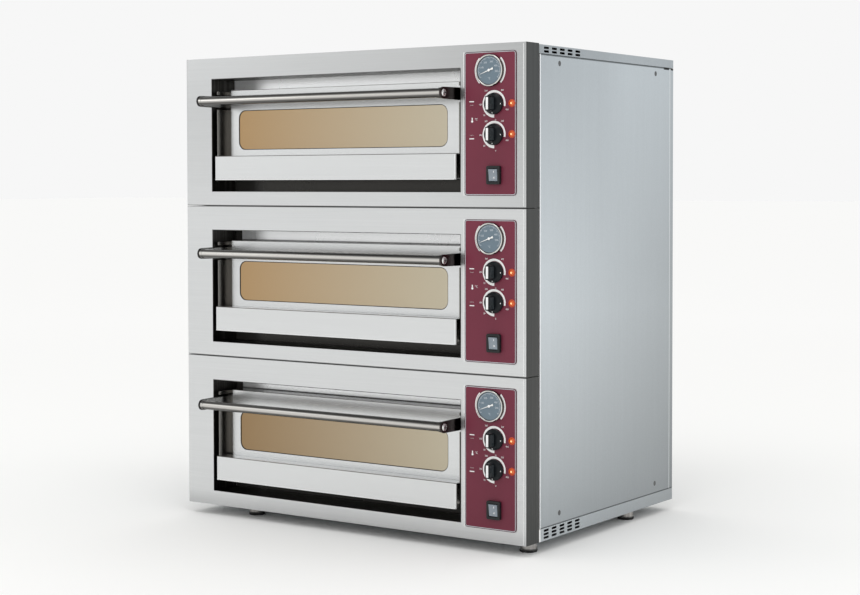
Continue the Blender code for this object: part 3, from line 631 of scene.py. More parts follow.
def chamber_look(deck):
    """Bright flange round the mouth: near-white steel, matt white at its left end as a painted
    bright reflection, with a shadow line where the door meets it, painted shade at its left end on
    the lower decks and a painted shadow below the door; heat-stained steel inside."""
    place = PLACES[deck]
    low = place.chamber[0]
    door_foot, door_top = (corner.z for corner in place.skin)
    look = Look(f"{deck}_chamber", MOUTH_STEEL_AND_REFLECTION, 0.28, 0.85)
    brush(look, ALONG_X, BROAD_X, 0.04, (0.22, 0.32))
    # Matt white at the left end, a painted bright reflection, and metal from there on.
    metal_share = look.ramp(look.x, low.x + 0.045, low.x + 0.105)
    look.metal(look.math("MULTIPLY", metal_share, 0.85))
    look.tint(look.ramp(look.z, door_top + 0.0030, door_top + 0.0012), MOUTH_SHADOW)
    if deck != "top":
        # Painted shade at the flange's left end.
        look.tint(look.ramp(look.x, low.x + 0.0225, low.x + 0.0220), MOUTH_END_SHADE)
    # Painted shadow below the door.
    look.tint(look.ramp(look.z, door_foot + 0.0010, door_foot), MOUTH_FOOT_SHADOW)
    deep = look.ramp(look.y, low.y + 0.002, low.y + 0.05)
    look.tint(deep, OVEN_STEEL)
    stain = look.ramp(look.noise(9.0, detail=5.0), 0.45, 0.75)
    look.tint(look.both(deep, stain), HEAT_STAIN, 0.6)
    return look.done()


def stone_look():
    look = Look("baking_stone", STONE, 0.92)
    look.shade(look.noise(60.0, detail=8.0), 0.80, 1.15)
    look.tint(look.ramp(look.noise(7.0, detail=5.0), 0.50, 0.72), SCORCH, 0.55)
    look.bump(look.noise(700.0, detail=5.0), 0.5, 0.0004)
    return look.done()


def element_look():
    look = Look("element_steel", ELEMENT, 0.55, 1.0)
    look.shade(look.noise(120.0, detail=6.0), 0.6, 1.3)
    look.rough(look.noise(80.0), 0.45, 0.70)
    return look.done()


def glass_look(deck):
    """Amber pane with painted reflection: paler to the right, and on the bottom deck darker, most
    to the left.
    """
    low, high = PLACES[deck].glass
    look = Look(f"{deck}_window_glass", AMBER, 0.07, 0.85, Coat_Weight=0.3)
    # Painted reflection: paler to the right, and on the bottom deck darker towards the left.
    look.tint(look.ramp(look.x, low.x, high.x), AMBER_RIGHT_REFLECTION)
    if deck == "bottom":
        look.shade(look.ramp(look.x, high.x, low.x), 0.90, 0.66)
    look.rough(look.noise(4.0), 0.05, 0.10)
    return look.done()


def bar_look(deck):
    """Polished tube with painted reflection: a light band along its front, with painted shade
    towards its top and underside.
    """
    low, high = PLACES[deck].bar
    look = Look(f"{deck}_handle_chrome", CHROME, 0.16, 1.0)
    height = look.math("SUBTRACT", look.z, (low.z + high.z) / 2)
    # Painted shade above and below the light band.
    look.shade(look.ramp(height, 0.0022, 0.0052), 1.0, 0.26)
    look.shade(look.ramp(height, -0.0012, -0.0048), 1.0, 0.20)
    look.shade(look.noise(ALONG_X, detail=3.0), 0.90, 1.06)
    look.rough(look.noise(30.0), 0.12, 0.22)
    return look.done()


def plate_look(deck):
    """Bordeaux enamel with painted shade: a little darker towards the foot of the plate, and
    darker all over on the bottom deck.
    """
    low, high = PLACES[deck].plate
    look = Look(f"{deck}_control_red", BORDEAUX, 0.38, Specular_IOR_Level=0.30)
    # Painted shade: the bottom deck's plate darker, and each plate darker towards its foot.
    brightest = 0.93 if deck == "bottom" else 1.0
    look.shade(look.ramp(look.z, high.z, low.z), brightest, 0.86 * brightest)
    look.shade(look.noise(14.0, detail=3.0), 0.92, 1.08)
    look.rough(look.noise(40.0), 0.33, 0.45)
    look.bump(look.noise(1500.0), 0.10, 0.0001)
    return look.done()


def plastic_look(name, color, rough=(0.28, 0.42), gloss=0.5):
    look = Look(name, color, 0.35, Specular_IOR_Level=gloss)
    look.shade(look.noise(90.0, detail=3.0), 0.85, 1.15)
    look.rough(look.noise(60.0), *rough)
    look.bump(look.noise(1200.0), 0.15, 0.0001)
    return look.done()


def foot_look():
    """Turned stainless above a black rubber sole."""
    look = Look("foot_steel", FOOT_STEEL, 0.20, 1.0)
    look.shade(look.noise((130.0, 130.0, 4.0)), 0.30, 1.70)
    sole = look.ramp(look.z, 0.0062, 0.0056)
    look.tint(sole, SOLE)
    look.rough(sole, 0.25, 0.85)
    look.metal(look.ramp(look.z, 0.0056, 0.0062))
    return look.done()


# ---------------- finishing the CAD nodes

WELD_DISTANCE = 0.00001
SOFTENED_ANGLE = 50
SHARED_CASING = ("top_cover", "base_tray", "side_panel_left", "side_panel_right", "rear_panel")
FEET = ("front_left", "front_right", "rear_left", "rear_right")
SOFTENED = (
    ("door_skin", 0.0006, 2),
    ("handle_arm_left", 0.0006, 2),
    ("handle_arm_right", 0.0006, 2),
    ("switch_housing", 0.0005, 2),
    ("control_plate", 0.0003, 1),
    ("baking_stone", 0.0020, 2),
)


def wear(node, material):
    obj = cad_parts[node]
    obj.data.materials.clear()
    obj.data.materials.append(material)


def soften(node, width, segments):
    """Small rounded edges, so that they catch the light."""
    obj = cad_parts[node]
    weld = obj.modifiers.new("weld", "WELD")
    weld.merge_threshold = WELD_DISTANCE
    bevel = obj.modifiers.new("edges", "BEVEL")
    bevel.width = width
    bevel.segments = segments
    bevel.limit_method = "ANGLE"
    bevel.angle_limit = math.radians(SOFTENED_ANGLE)
    bevel.use_clamp_overlap = True
    bevel.harden_normals = True


def common_looks():
    """Looks that the decks share: material and slot for each kind of node."""
    black = plastic_look("black_plastic", BLACK, gloss=0.30)
    return {
        "baking_stone": (stone_look(), "baking_stone"),
        "heating_elements": (element_look(), "element_steel"),
        # The right arm is painted near-black, a painted dark reflection.
        "handle_arm_right": (dark_steel("arm_steel_right", ARM_RIGHT_SHADED_STEEL).done(), "arm_steel"),
        "thermometer": (plastic_look("gauge_metal", GAUGE_METAL), "gauge_metal"),
        "thermometer_needle": (plastic_look("needle_white", NEEDLE_WHITE), "needle_white"),
        "knob_top_heat": (black, "black_plastic"),
        "knob_bottom_heat": (black, "black_plastic"),
        "switch_housing": (black, "black_plastic"),
        "switch_rocker": (plastic_look("smoked_plastic", SMOKED, (0.12, 0.22)), "smoked_plastic"),
    }


def deck_looks(deck):
    """Looks that depend on the deck: material and slot for each kind of node."""
    return {
        "fascia": (fascia_look(deck), "front_stainless"),
        "chamber": (chamber_look(deck), "chamber_steel"),
        "door_skin": (door_skin_look(deck), "front_stainless"),
        "door_liner": (liner_look(deck), "door_pan_steel"),
        "door_glass": (glass_look(deck), "window_glass"),
        "handle_bar": (bar_look(deck), "handle_chrome"),
        "handle_arm_left": (left_arm_look(deck), "arm_steel"),
        "control_plate": (plate_look(deck), "control_red"),
    }


def finish_cad():
    common = common_looks()
    for deck in DECKS:
        for kind, (material, slot) in {**common, **deck_looks(deck)}.items():
            wear(f"{deck}_{kind}", material)
        for kind, width, segments in SOFTENED:
            soften(f"{deck}_{kind}", width, segments)
    casing = casing_look()
    for node in SHARED_CASING:
        wear(node, casing)
    foot = foot_look()
    for place in FEET:
        wear(f"foot_{place}", foot)


# ---------------- looks of the added pieces

PILOT_ORANGE = (0.50, 0.080, 0.008)
PILOT_LIGHT = ((1.0, 0.16, 0.01), 0.16)
GLOW = (1.0, 0.55, 0.25)
GLOW_LIGHT = ((1.0, 0.50, 0.22), 0.9)
DIAL_BLUE = (0.115, 0.170, 0.215)
PRINTS = {
    "white_print": ("needle_white", "print_white", (0.93, 0.93, 0.93)),
    "silver_print": ("control_red", "print_silver", (0.56, 0.58, 0.62)),
    "dial_print": ("needle_white", "print_dial", (0.60, 0.65, 0.70)),
    # Painted shadow along the control plate's edge.
    "plate_shadow_line": ("control_red", "plate_edge", (0.055, 0.012, 0.022)),
    # White face on the knob grip, which also stands in for the grip's painted highlight.
    "knob_face": ("gauge_metal", "knob_face", (0.93, 0.93, 0.93)),
}
POLISHED = {
    "bezel": ("gauge_metal", "gauge_bezel", (0.66, 0.65, 0.63), 0.10),
    # Painted shade for the bezel's inner well and outer flank.
    "bezel_wall_shade": ("gauge_metal", "bezel_shade", (0.11, 0.10, 0.09), 0.20),
    "chrome": ("handle_chrome", "screw_chrome", (0.88, 0.87, 0.86), 0.25),
    "screw": ("casing_stainless", "casing_screw", (0.13, 0.13, 0.13), 0.45),
    # Painted shade along the door's folds.
    "fold": ("door_pan_steel", "fold_dark", (0.14, 0.135, 0.13), 0.35),
    # Painted shade along the door opening's rim.
    "rim": ("front_stainless", "opening_rim", (0.11, 0.11, 0.11), 0.35),
    # Painted highlights along the door's hems and the fascia's bends.
    "hem": ("front_stainless", "hem_bright", (0.86, 0.87, 0.87), 0.25),
}
PLASTICS = {
    "black": ("black_plastic", "knob_black", (0.006, 0.008, 0.010), (0.24, 0.36), 0.22),
    "ridge": ("black_plastic", "knob_ridge", (0.050, 0.060, 0.066), (0.22, 0.34)),
    "pilot_rim": ("smoked_plastic", "pilot_rim", (0.50, 0.045, 0.012)),
    "rib": ("smoked_plastic", "rocker_rib", (0.30, 0.34, 0.38), (0.12, 0.22)),
}
LOOKS = {}


def seal_look():
    look = Look("seal_black", (0.020, 0.019, 0.018), 0.65)
    look.shade(look.noise(150.0), 0.8, 1.2)
    return look.done()


def print_look(name, color):
    look = Look(name, color, 0.45)
    look.shade(look.noise(200.0), 0.93, 1.0)
    return look.done()


def light_up(look, color, strength):
    look.shader.inputs["Emission Color"].default_value = (*color, 1.0)
    look.shader.inputs["Emission Strength"].default_value = strength


def lamp_look():
    """Orange lens, as when its lamp is lit."""
    look = Look("pilot_orange", PILOT_ORANGE, 0.15, Coat_Weight=0.5)
    look.shade(look.noise(700.0), 0.75, 1.1)
    light_up(look, *PILOT_LIGHT)
    return look.done()


def glow_look():
    look = Look("pilot_glow", GLOW, 0.2)
    light_up(look, *GLOW_LIGHT)
    return look.done()


def polished_look(name, color, rough):
    look = Look(name, color, rough, 1.0)
    look.shade(look.noise(90.0, detail=3.0), 0.9, 1.08)
    look.rough(look.noise(60.0), rough * 0.8, rough * 1.3)
    return look.done()


def dial_look():
    look = Look("gauge_dial", DIAL_BLUE, 0.40, Coat_Weight=0.6, Coat_Roughness=0.05)
    look.shade(look.noise(60.0), 0.95, 1.05)
    return look.done()


def make_looks():
    """Fills LOOKS: the slot and the material of each look."""
    LOOKS["seal"] = ("black_plastic", seal_look())
    LOOKS["dial"] = ("gauge_metal", dial_look())
    LOOKS["lamp"] = ("smoked_plastic", lamp_look())
    LOOKS["glow"] = ("smoked_plastic", glow_look())
    for make, table in ((print_look, PRINTS), (polished_look, POLISHED), (plastic_look, PLASTICS)):
        for look, (slot, *values) in table.items():
            LOOKS[look] = (slot, make(*values))


# ---------------- making the added pieces

CIRCLE = 360
CURVE_STEPS = 40
CORNER_STEPS = 6
SMOOTH_ANGLE = 30.0
KNOB_ANGLE = 40.0
ROUND_ANGLE = 60.0
TEXT_DETAIL = 3
SCREW_DOME = ((0.0, 0.40), (0.45, 0.36), (0.85, 0.20), (1.0, 0.0), (1.0, -0.10))
SCREW_CROSS = (0.41, 0.55, 0.11)


class Piece:
    """Gathers the faces of one added piece, in the frame's coordinates."""

    def __init__(self):
        self.shape = bmesh.new()

    def strip(self, first, second, closed=False):
        """A band of quads between two lines of as many points each."""
        rows = [[self.shape.verts.new(point) for point in line] for line in (first, second)]
        count = len(first)
        for i in range(count if closed else count - 1):
            j = (i + 1) % count
            self.shape.faces.new((rows[0][i], rows[0][j], rows[1][j], rows[1][i]))

    def bar(self, xs, zs, y):
        """A flat upright rectangle facing front."""
        lower, upper = ([Vector((x, y, z)) for x in xs] for z in zs)
        self.strip(lower, upper)

    def turned(self, profile, centre, out, steps):
        """Turns (radius, height) points about the line from centre along out."""
        turn = out.to_track_quat("Z", "Y").to_matrix().to_4x4()
        matrix = Matrix.Translation(centre) @ turn
        rings = []
        for radius, height in profile:
            count = steps if radius > 0 else 1
            angles = [2 * math.pi * i / steps for i in range(count)]
            points = [(radius * math.cos(a), radius * math.sin(a), height) for a in angles]
            rings.append([self.shape.verts.new(matrix @ Vector(point)) for point in points])
        for first, second in zip(rings, rings[1:]):
            self.join_rings(first, second, steps)

    def join_rings(self, first, second, steps):
        for i in range(steps):
            j = (i + 1) % steps
            corners = [first[i % len(first)], first[j % len(first)]]
            corners += [second[j % len(second)], second[i % len(second)]]
            self.shape.faces.new(list(dict.fromkeys(corners)))

    def block(self, low, high, bevel=0.0, segments=2):
        low, high = Vector(low), Vector(high)
        size = Matrix.Diagonal((*(high - low), 1.0))
        place = Matrix.Translation((low + high) / 2) @ size
        made = bmesh.ops.create_cube(self.shape, size=1.0, matrix=place)
        if not bevel:
            return
        edges = list({edge for vert in made["verts"] for edge in vert.link_edges})
        bmesh.ops.bevel(
            self.shape, geom=edges, offset=bevel, segments=segments, affect="EDGES", profile=0.5
        )

    def text(self, words, size, at):
        """Words facing front, centred on a point."""
        curve = bpy.data.curves.new("words", "FONT")
        curve.body = words
        curve.size = size
        curve.align_x = "CENTER"
        curve.align_y = "CENTER"
        curve.resolution_u = TEXT_DETAIL
        holder = bpy.data.objects.new("words", curve)
        mesh = bpy.data.meshes.new_from_object(holder)
        turn = Matrix.Rotation(math.pi / 2, 4, "X")
        mesh.transform(Matrix.Translation(at) @ turn)
        self.shape.from_mesh(mesh)
        bpy.data.objects.remove(holder)
        bpy.data.meshes.remove(mesh)
        bpy.data.curves.remove(curve)

    def done(self, name, look, body, smooth=SMOOTH_ANGLE, other_slot=None):
        slot, material = LOOKS[look]
        bmesh.ops.recalc_face_normals(self.shape, faces=self.shape.faces)
        mesh = bpy.data.meshes.new(name)
        self.shape.to_mesh(mesh)
        self.shape.free()
        mesh.materials.append(material)
        for face in mesh.polygons:
            face.use_smooth = True
        mesh.set_sharp_from_angle(angle=math.radians(smooth))
        piece = bpy.data.objects.new(name, mesh)
        show(piece)
        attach(piece, body)
        return piece


def clock(centre, radius, angle):
    """The point at a clock angle in degrees, on the front plane through centre."""
    turn = math.radians(angle)
    return centre + Vector((radius * math.sin(turn), 0.0, radius * math.cos(turn)))


def clock_line(centre, radii, angles, steps=CURVE_STEPS):
    """Points round the clock from one angle to another, the radius changing evenly."""
    line = []
    for i in range(steps + 1):
        share = i / steps
        radius = radii[0] + (radii[1] - radii[0]) * share
        line.append(clock(centre, radius, angles[0] + (angles[1] - angles[0]) * share))
    return line


def arc_band(piece, centre, outer, inner, angles, steps=CURVE_STEPS):
    """A flat band round part of the clock; outer and inner are the radii at its two ends."""
    lines = [clock_line(centre, radii, angles, steps) for radii in (outer, inner)]
    piece.strip(*lines)


def rounded_line(low, high, radius, y):
    """A closed rectangle with rounded corners, on a front plane."""
    corners = (
        (high.x - radius, high.z - radius, 0),
        (high.x - radius, low.z + radius, 90),
        (low.x + radius, low.z + radius, 180),
        (low.x + radius, high.z - radius, 270),
    )
    line = []
    for x, z, start in corners:
        centre = Vector((x, y, z))
        line += clock_line(centre, (radius, radius), (start, start + 90), CORNER_STEPS)
    return line


def rounded_ring(piece, low, high, radius, y, inset, width):
    """A flat band that follows a rounded rectangle, from inset to inset + width inside it."""
    lines = []
    for shrink in (inset, inset + width):
        by = Vector((shrink, 0.0, shrink))
        lines.append(rounded_line(low + by, high - by, radius - shrink, y))
    piece.strip(*lines, closed=True)


def cross_screw(name, centre, out, radius, body):
    """Domed screw head with a cross in it."""
    head = Piece()
    head.turned([(r * radius, h * radius) for r, h in SCREW_DOME], centre, out, 24)
    head.done(f"{name}_head", "chrome", body)
    rise, reach, half = (share * radius for share in SCREW_CROSS)
    cross = Piece()
    top = centre + out * rise
    sideways = out.cross(UP)
    for long, short in ((UP, sideways), (sideways, UP)):
        end, edge = long * reach, short * half
        cross.strip((top - end - edge, top + end - edge), (top - end + edge, top + end + edge))
    cross.done(f"{name}_cross", "seal", body)


# ---------------- control plate

PLATE_CORNER = 0.007
PLATE_EDGE = (0.0001, 0.0013)
PLATE_LINE = (0.0016, 0.0012)

SCALE_SWEEP = (180, 462)
SCALE_OUTER = (0.0290, 0.0280)
SCALE_INNER = (0.0222, 0.0240)
KNOB_NUMBERS = (("0", 174), ("50", 226), ("100", 268), ("200", 324), ("300", 36), ("450", 112))
KNOB_NUMBER_SIZE, KNOB_NUMBER_RADIUS = 0.0048, 0.0342

SYMBOL_INSET = 0.0185
SYMBOL_AWAY, SYMBOL_DROP = 0.007, 0.0014
SYMBOL_BAR = (0.0058, 0.0010)
SYMBOL_DOT, SYMBOL_DOT_STEP, SYMBOL_DOT_ROW = 0.0004, 0.0018, 0.0075
STEM_X, STEM_Z = (-0.0001, 0.0025), (-0.0020, 0.0038)
BULB_RADIUS, BULB_X, BULB_Z = 0.0026, 0.0012, -0.0038
DEGREE_SIZE, DEGREE_X = 0.0062, 0.0112

ARC_RADII = (0.0382, 0.0344)
ARC_ANGLES = ((45, 135), (225, 315))

DIAL_RADIUS, DIAL_HEIGHT = 0.0296, 0.0042
BEZEL_LIP = (
    (0.0302, 0.0060),
    (0.0309, 0.0068),
    (0.0317, 0.0070),
    (0.0326, 0.0067),
    (0.0333, 0.0060),
)
BEZEL_WALLS = {
    "well": ((0.0292, 0.0040), (0.0302, 0.0060)),
    "flank": ((0.0333, 0.0060), (0.0338, 0.0051), (0.0340, 0.0038), (0.0340, 0.0003)),
}
GAUGE_TICKS, GAUGE_START, GAUGE_STEP = 41, -125, 6.25
TICK_RADIUS = 0.0268
LONG_TICK, SHORT_TICK = (0.0030, 0.9), (0.0016, 0.6)
GAUGE_RING = 0.0272
GAUGE_NUMBERS = (("100", 288), ("200", 330), ("300", 18), ("400", 62), ("500", 98))
GAUGE_NUMBER_SIZE, GAUGE_NUMBER_RADIUS, GAUGE_UNIT_RADIUS = 0.0056, 0.0186, 0.0170
HUB_PROFILE = ((0.0, 0.0008), (0.0022, 0.0007), (0.0030, 0.0002), (0.0030, 0.0))

ROUND_STEPS = 64
KNOB_PROFILE = (
    (0.0, 0.0096),
    (0.0152, 0.0096),
    (0.0166, 0.0092),
    (0.0196, 0.0070),
    (0.0214, 0.0059),
    (0.0222, 0.0054),
    (0.0225, 0.0046),
    (0.0225, 0.0010),
    (0.0, 0.0010),
)
GRIP_HALF_X, GRIP_HALF_Z = 0.0055, 0.0155
GRIP_FRONT, GRIP_FOOT, GRIP_CORNER = 0.0284, 0.0060, 0.0018
RIDGES, RIDGE_START, RIDGE_STEP, RIDGE_HALF = 6, 0.0125, 0.0026, 0.0008
RIDGE_PROUD, RIDGE_SHORT = 0.0003, 0.0030
FACE_HALF_X, FACE_HALF_Z = 0.0028, 0.0128
FACE_PROUD, FACE_DEEP, FACE_CORNER = 0.0006, 0.0004, 0.0005
MARK_HALF, MARK_Z, MARK_FRONT = 0.0007, (-0.0205, -0.0172), 0.0084
SPOT_PROFILE = ((0.0, 0.0004), (0.0013, 0.0002), (0.0013, 0.0))
SPOT_RADIUS, SPOT_ANGLE, SPOT_FRONT = 0.0196, 92, 0.0072

PILOT_INSET = 0.0105
COLLAR_PROFILE = ((0.0084, 0.0), (0.0084, 0.0008), (0.0066, 0.0013), (0.0066, 0.0))
LENS_PROFILE = ((0.0, 0.0036), (0.0028, 0.0033), (0.0048, 0.0023), (0.0065, 0.0008), (0.0065, 0.0))
GLOW_PROFILE = ((0.0, 0.0003), (0.0017, 0.0002), (0.0020, -0.0004))
# Kind, look, profile, height over the plate, steps and smoothing angle.
PILOT_PARTS = (
    ("collar", "pilot_rim", COLLAR_PROFILE, 0.0, 24, SMOOTH_ANGLE),
    ("lens", "lamp", LENS_PROFILE, 0.0, 24, ROUND_ANGLE),
    ("glow", "glow", GLOW_PROFILE, 0.0036, 16, ROUND_ANGLE),
)

ROCKER_RIBS = 9
RIB_MARGIN_X, RIB_MARGIN_Z, RIB_HALF = 0.0022, 0.0018, 0.0005
RIB_PROUD, RIB_DEEP = 0.0003, 0.0004
ROCKER_UPPER_LEAN, ROCKER_LOWER_LEAN = 0.0020, 0.0010
OFF_MARK, OFF_MARK_STEPS = (0.0030, -0.0055), 16
OFF_MARK_RADII = (0.0019, 0.0011)
ON_MARK_X, ON_MARK_Z = (0.0024, 0.0036), (0.0050, 0.0090)
OFF_MARK_FACE, ON_MARK_FACE, MARK_PROUD = -0.0050, 0.0080, 0.0006


def offset(value, pair):
    return (value + pair[0], value + pair[1])


def add_plate_border(deck):
    """The plate's edge, darkened as a painted shadow, and the silver line printed inside it."""
    place = PLACES[deck]
    y = place.plate_y - PRINT_LIFT
    borders = (("edge", "plate_shadow_line", PLATE_EDGE), ("line", "silver_print", PLATE_LINE))
    for name, look, band in borders:
        ring = Piece()
        rounded_ring(ring, *place.plate, PLATE_CORNER, y, *band)
        ring.done(f"{deck}_plate_{name}", look, ROOT)


def print_knob_scale(piece, centre):
    """Tapered arc from six o'clock round to half past three, with its numbers."""
    arc_band(piece, centre, SCALE_OUTER, SCALE_INNER, SCALE_SWEEP)
    for words, angle in KNOB_NUMBERS:
        piece.text(words, KNOB_NUMBER_SIZE, clock(centre, KNOB_NUMBER_RADIUS, angle))


def print_symbols(piece, place, y):
    """Upper heat, lower heat and temperature signs, left of the knobs."""
    x = place.plate[0].x + SYMBOL_INSET
    half_x, half_z = SYMBOL_BAR
    for side, step in (("top", -1), ("bottom", 1)):
        z = place.knobs[side].z - step * SYMBOL_AWAY - SYMBOL_DROP
        piece.bar((x - half_x, x + half_x), (z - half_z, z + half_z), y)
        row = z + step * SYMBOL_DOT_ROW
        for i in range(-2, 3):
            dot = x + i * SYMBOL_DOT_STEP
            piece.bar(
                (dot - SYMBOL_DOT, dot + SYMBOL_DOT), (row - SYMBOL_DOT, row + SYMBOL_DOT), y
            )
    middle = (place.knobs["top"].z + place.knobs["bottom"].z) / 2
    piece.bar(offset(x, STEM_X), offset(middle, STEM_Z), y)
    bulb = Vector((x + BULB_X, y, middle + BULB_Z))
    piece.turned([(0.0, 0.0), (BULB_RADIUS, 0.0)], bulb, FRONT, 16)
    piece.text("°C", DEGREE_SIZE, Vector((x + DEGREE_X, y, middle)))


def add_prints(deck):
    """The white print of the plate, and the pale arcs beside the gauge."""
    place = PLACES[deck]
    y = place.plate_y - PRINT_LIFT
    white = Piece()
    for side in HEATS:
        knob = place.knobs[side]
        print_knob_scale(white, Vector((knob.x, y, knob.z)))
    print_symbols(white, place, y)
    white.done(f"{deck}_plate_print", "white_print", ROOT)
    arcs = Piece()
    gauge = Vector((place.gauge.x, y, place.gauge.z))
    outer, inner = ARC_RADII
    for angles in ARC_ANGLES:
        arc_band(arcs, gauge, (inner, inner), (outer, outer), angles)
    arcs.done(f"{deck}_gauge_arcs", "white_print", ROOT)


def add_gauge(deck):
    """Rolled steel bezel with painted shade on its walls, blue dial, scale and numbers; stands for
    the plain CAD gauge.
    """
    place = PLACES[deck]
    centre = Vector((place.gauge.x, place.plate_y, place.gauge.z))
    bezel = Piece()
    bezel.turned(BEZEL_LIP, centre, FRONT, ROUND_STEPS)
    name = f"{deck}_gauge_bezel"
    bezel = bezel.done(name, "bezel", ROOT, ROUND_ANGLE)
    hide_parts(f"{deck}_thermometer")
    # The bezel's inner well and outer flank carry painted shade.
    for kind, profile in BEZEL_WALLS.items():
        wall = Piece()
        wall.turned(profile, centre, FRONT, ROUND_STEPS)
        name = f"{deck}_gauge_{kind}"
        wall.done(name, "bezel_wall_shade", ROOT, ROUND_ANGLE)
    dial = Piece()
    dial.turned([(0.0, DIAL_HEIGHT), (DIAL_RADIUS, DIAL_HEIGHT)], centre, FRONT, ROUND_STEPS)
    dial.done(f"{deck}_gauge_dial", "dial", ROOT)
    add_gauge_scale(deck, centre + FRONT * (DIAL_HEIGHT + PRINT_LIFT))


def add_gauge_scale(deck, centre):
    """Ticks, a fine ring, numbers and the unit, printed on the dial."""
    marks = Piece()
    for i in range(GAUGE_TICKS):
        angle = GAUGE_START + i * GAUGE_STEP
        length, half = LONG_TICK if i % 4 == 0 else SHORT_TICK
        outer, inner = (
            [clock(centre, radius, angle - half), clock(centre, radius, angle + half)]
            for radius in (TICK_RADIUS, TICK_RADIUS - length)
        )
        marks.strip(outer, inner)
    sweep = (GAUGE_START, -GAUGE_START)
    arc_band(marks, centre, (GAUGE_RING, GAUGE_RING), (TICK_RADIUS, TICK_RADIUS), sweep)
    for words, angle in GAUGE_NUMBERS:
        marks.text(words, GAUGE_NUMBER_SIZE, clock(centre, GAUGE_NUMBER_RADIUS, angle))
    marks.text("°C", GAUGE_NUMBER_SIZE, clock(centre, GAUGE_UNIT_RADIUS, 180))
    marks.done(f"{deck}_gauge_marks", "dial_print", ROOT)


def add_hub(deck):
    """Round cap over the needle's pivot."""
    place = PLACES[deck]
    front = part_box(f"{deck}_thermometer_needle")[0].y
    cap = Piece()
    cap.turned(HUB_PROFILE, Vector((place.gauge.x, front, place.gauge.z)), FRONT, 20)
    cap.done(f"{deck}_needle_cap", "white_print", f"{deck}_needle")


def add_knob(deck, side):
    """Skirt and bar grip, ridged flanks, a white face plate that also stands in for the grip's
    painted highlight, and the white pointer.
    """
    place = PLACES[deck]
    knob = place.knobs[side]
    body = f"{deck}_{side}_knob"
    name = f"{deck}_{side}_heat_knob"
    centre = Vector((knob.x, place.plate_y, knob.z))
    add_knob_ridges(name, body, centre)
    skirt = Piece()
    skirt.turned(KNOB_PROFILE, centre, FRONT, ROUND_STEPS)
    low = (centre.x - GRIP_HALF_X, centre.y - GRIP_FRONT, centre.z - GRIP_HALF_Z)
    high = (centre.x + GRIP_HALF_X, centre.y - GRIP_FOOT, centre.z + GRIP_HALF_Z)
    skirt.block(low, high, GRIP_CORNER, 3)
    skirt = skirt.done(name, "black", body, KNOB_ANGLE)
    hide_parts(f"{deck}_knob_{side}_heat")
    front = centre.y - GRIP_FRONT
    # White face plate, also a painted highlight of the grip.
    face = Piece()
    low = (centre.x - FACE_HALF_X, front - FACE_PROUD, centre.z - FACE_HALF_Z)
    high = (centre.x + FACE_HALF_X, front + FACE_DEEP, centre.z + FACE_HALF_Z)
    face.block(low, high, FACE_CORNER)
    face.done(f"{name}_face", "knob_face", body)
    mark = Piece()
    mark_x = (centre.x - MARK_HALF, centre.x + MARK_HALF)
    mark.bar(mark_x, offset(centre.z, MARK_Z), centre.y - MARK_FRONT)
    spot = clock(centre, SPOT_RADIUS, SPOT_ANGLE) + FRONT * SPOT_FRONT
    mark.turned(SPOT_PROFILE, spot, FRONT, 12)
    mark.done(f"{name}_mark", "white_print", body)


def add_knob_ridges(name, body, centre):
    ridges = Piece()
    half_x, half_z = GRIP_HALF_X + RIDGE_PROUD, GRIP_HALF_Z - RIDGE_SHORT
    for i in range(RIDGES):
        y = centre.y - RIDGE_START - i * RIDGE_STEP
        half = Vector((half_x, RIDGE_HALF, half_z))
        middle = Vector((centre.x, y, centre.z))
        ridges.block(middle - half, middle + half)
    ridges.done(f"{name}_ridges", "ridge", body)


def add_pilot(deck, side):
    """Orange pilot lamp beside a knob: a dark collar, the lens and the glow in it."""
    place = PLACES[deck]
    x = place.plate[1].x - PILOT_INSET
    centre = Vector((x, place.plate_y, place.knobs[side].z))
    for kind, look, profile, lift, steps, smooth in PILOT_PARTS:
        part = Piece()
        part.turned(profile, centre + FRONT * lift, FRONT, steps)
        name = f"{deck}_{side}_pilot_{kind}"
        part.done(name, look, ROOT, smooth)


def add_rocker_details(deck):
    """Fine ribs across the rocker, and its on and off marks."""
    low, high = PLACES[deck].rocker
    body = f"{deck}_rocker"
    ribs = Piece()
    for i in range(ROCKER_RIBS):
        share = (i + 0.5) / ROCKER_RIBS
        z = low.z + RIB_MARGIN_Z + share * (high.z - low.z - 2 * RIB_MARGIN_Z)
        y = rocker_face_y(low, high, z)
        ribs.block(
            (low.x + RIB_MARGIN_X, y - RIB_PROUD, z - RIB_HALF),
            (high.x - RIB_MARGIN_X, y + RIB_DEEP, z + RIB_HALF),
        )
    ribs.done(f"{deck}_rocker_ribs", "rib", body)
    x, middle = (low.x + high.x) / 2, (low.z + high.z) / 2
    marks = Piece()
    y = rocker_face_y(low, high, middle + OFF_MARK_FACE) - MARK_PROUD
    ring = Vector((x + OFF_MARK[0], y, middle + OFF_MARK[1]))
    outer, inner = OFF_MARK_RADII
    arc_band(marks, ring, (outer, outer), (inner, inner), (0, CIRCLE), OFF_MARK_STEPS)
    y = rocker_face_y(low, high, middle + ON_MARK_FACE) - MARK_PROUD
    marks.bar(offset(x, ON_MARK_X), offset(middle, ON_MARK_Z), y)
    marks.done(f"{deck}_rocker_marks", "white_print", body)


def rocker_face_y(low, high, z):
    """Where the rocker's face is at a height: its lower half leans in more than its upper."""
    middle = (low.z + high.z) / 2
    half = high.z - middle
    if z > middle:
        return low.y + ROCKER_UPPER_LEAN * (high.z - z) / half
    return low.y + ROCKER_UPPER_LEAN + ROCKER_LOWER_LEAN * (middle - z) / half


# ---------------- door, fascia and casing

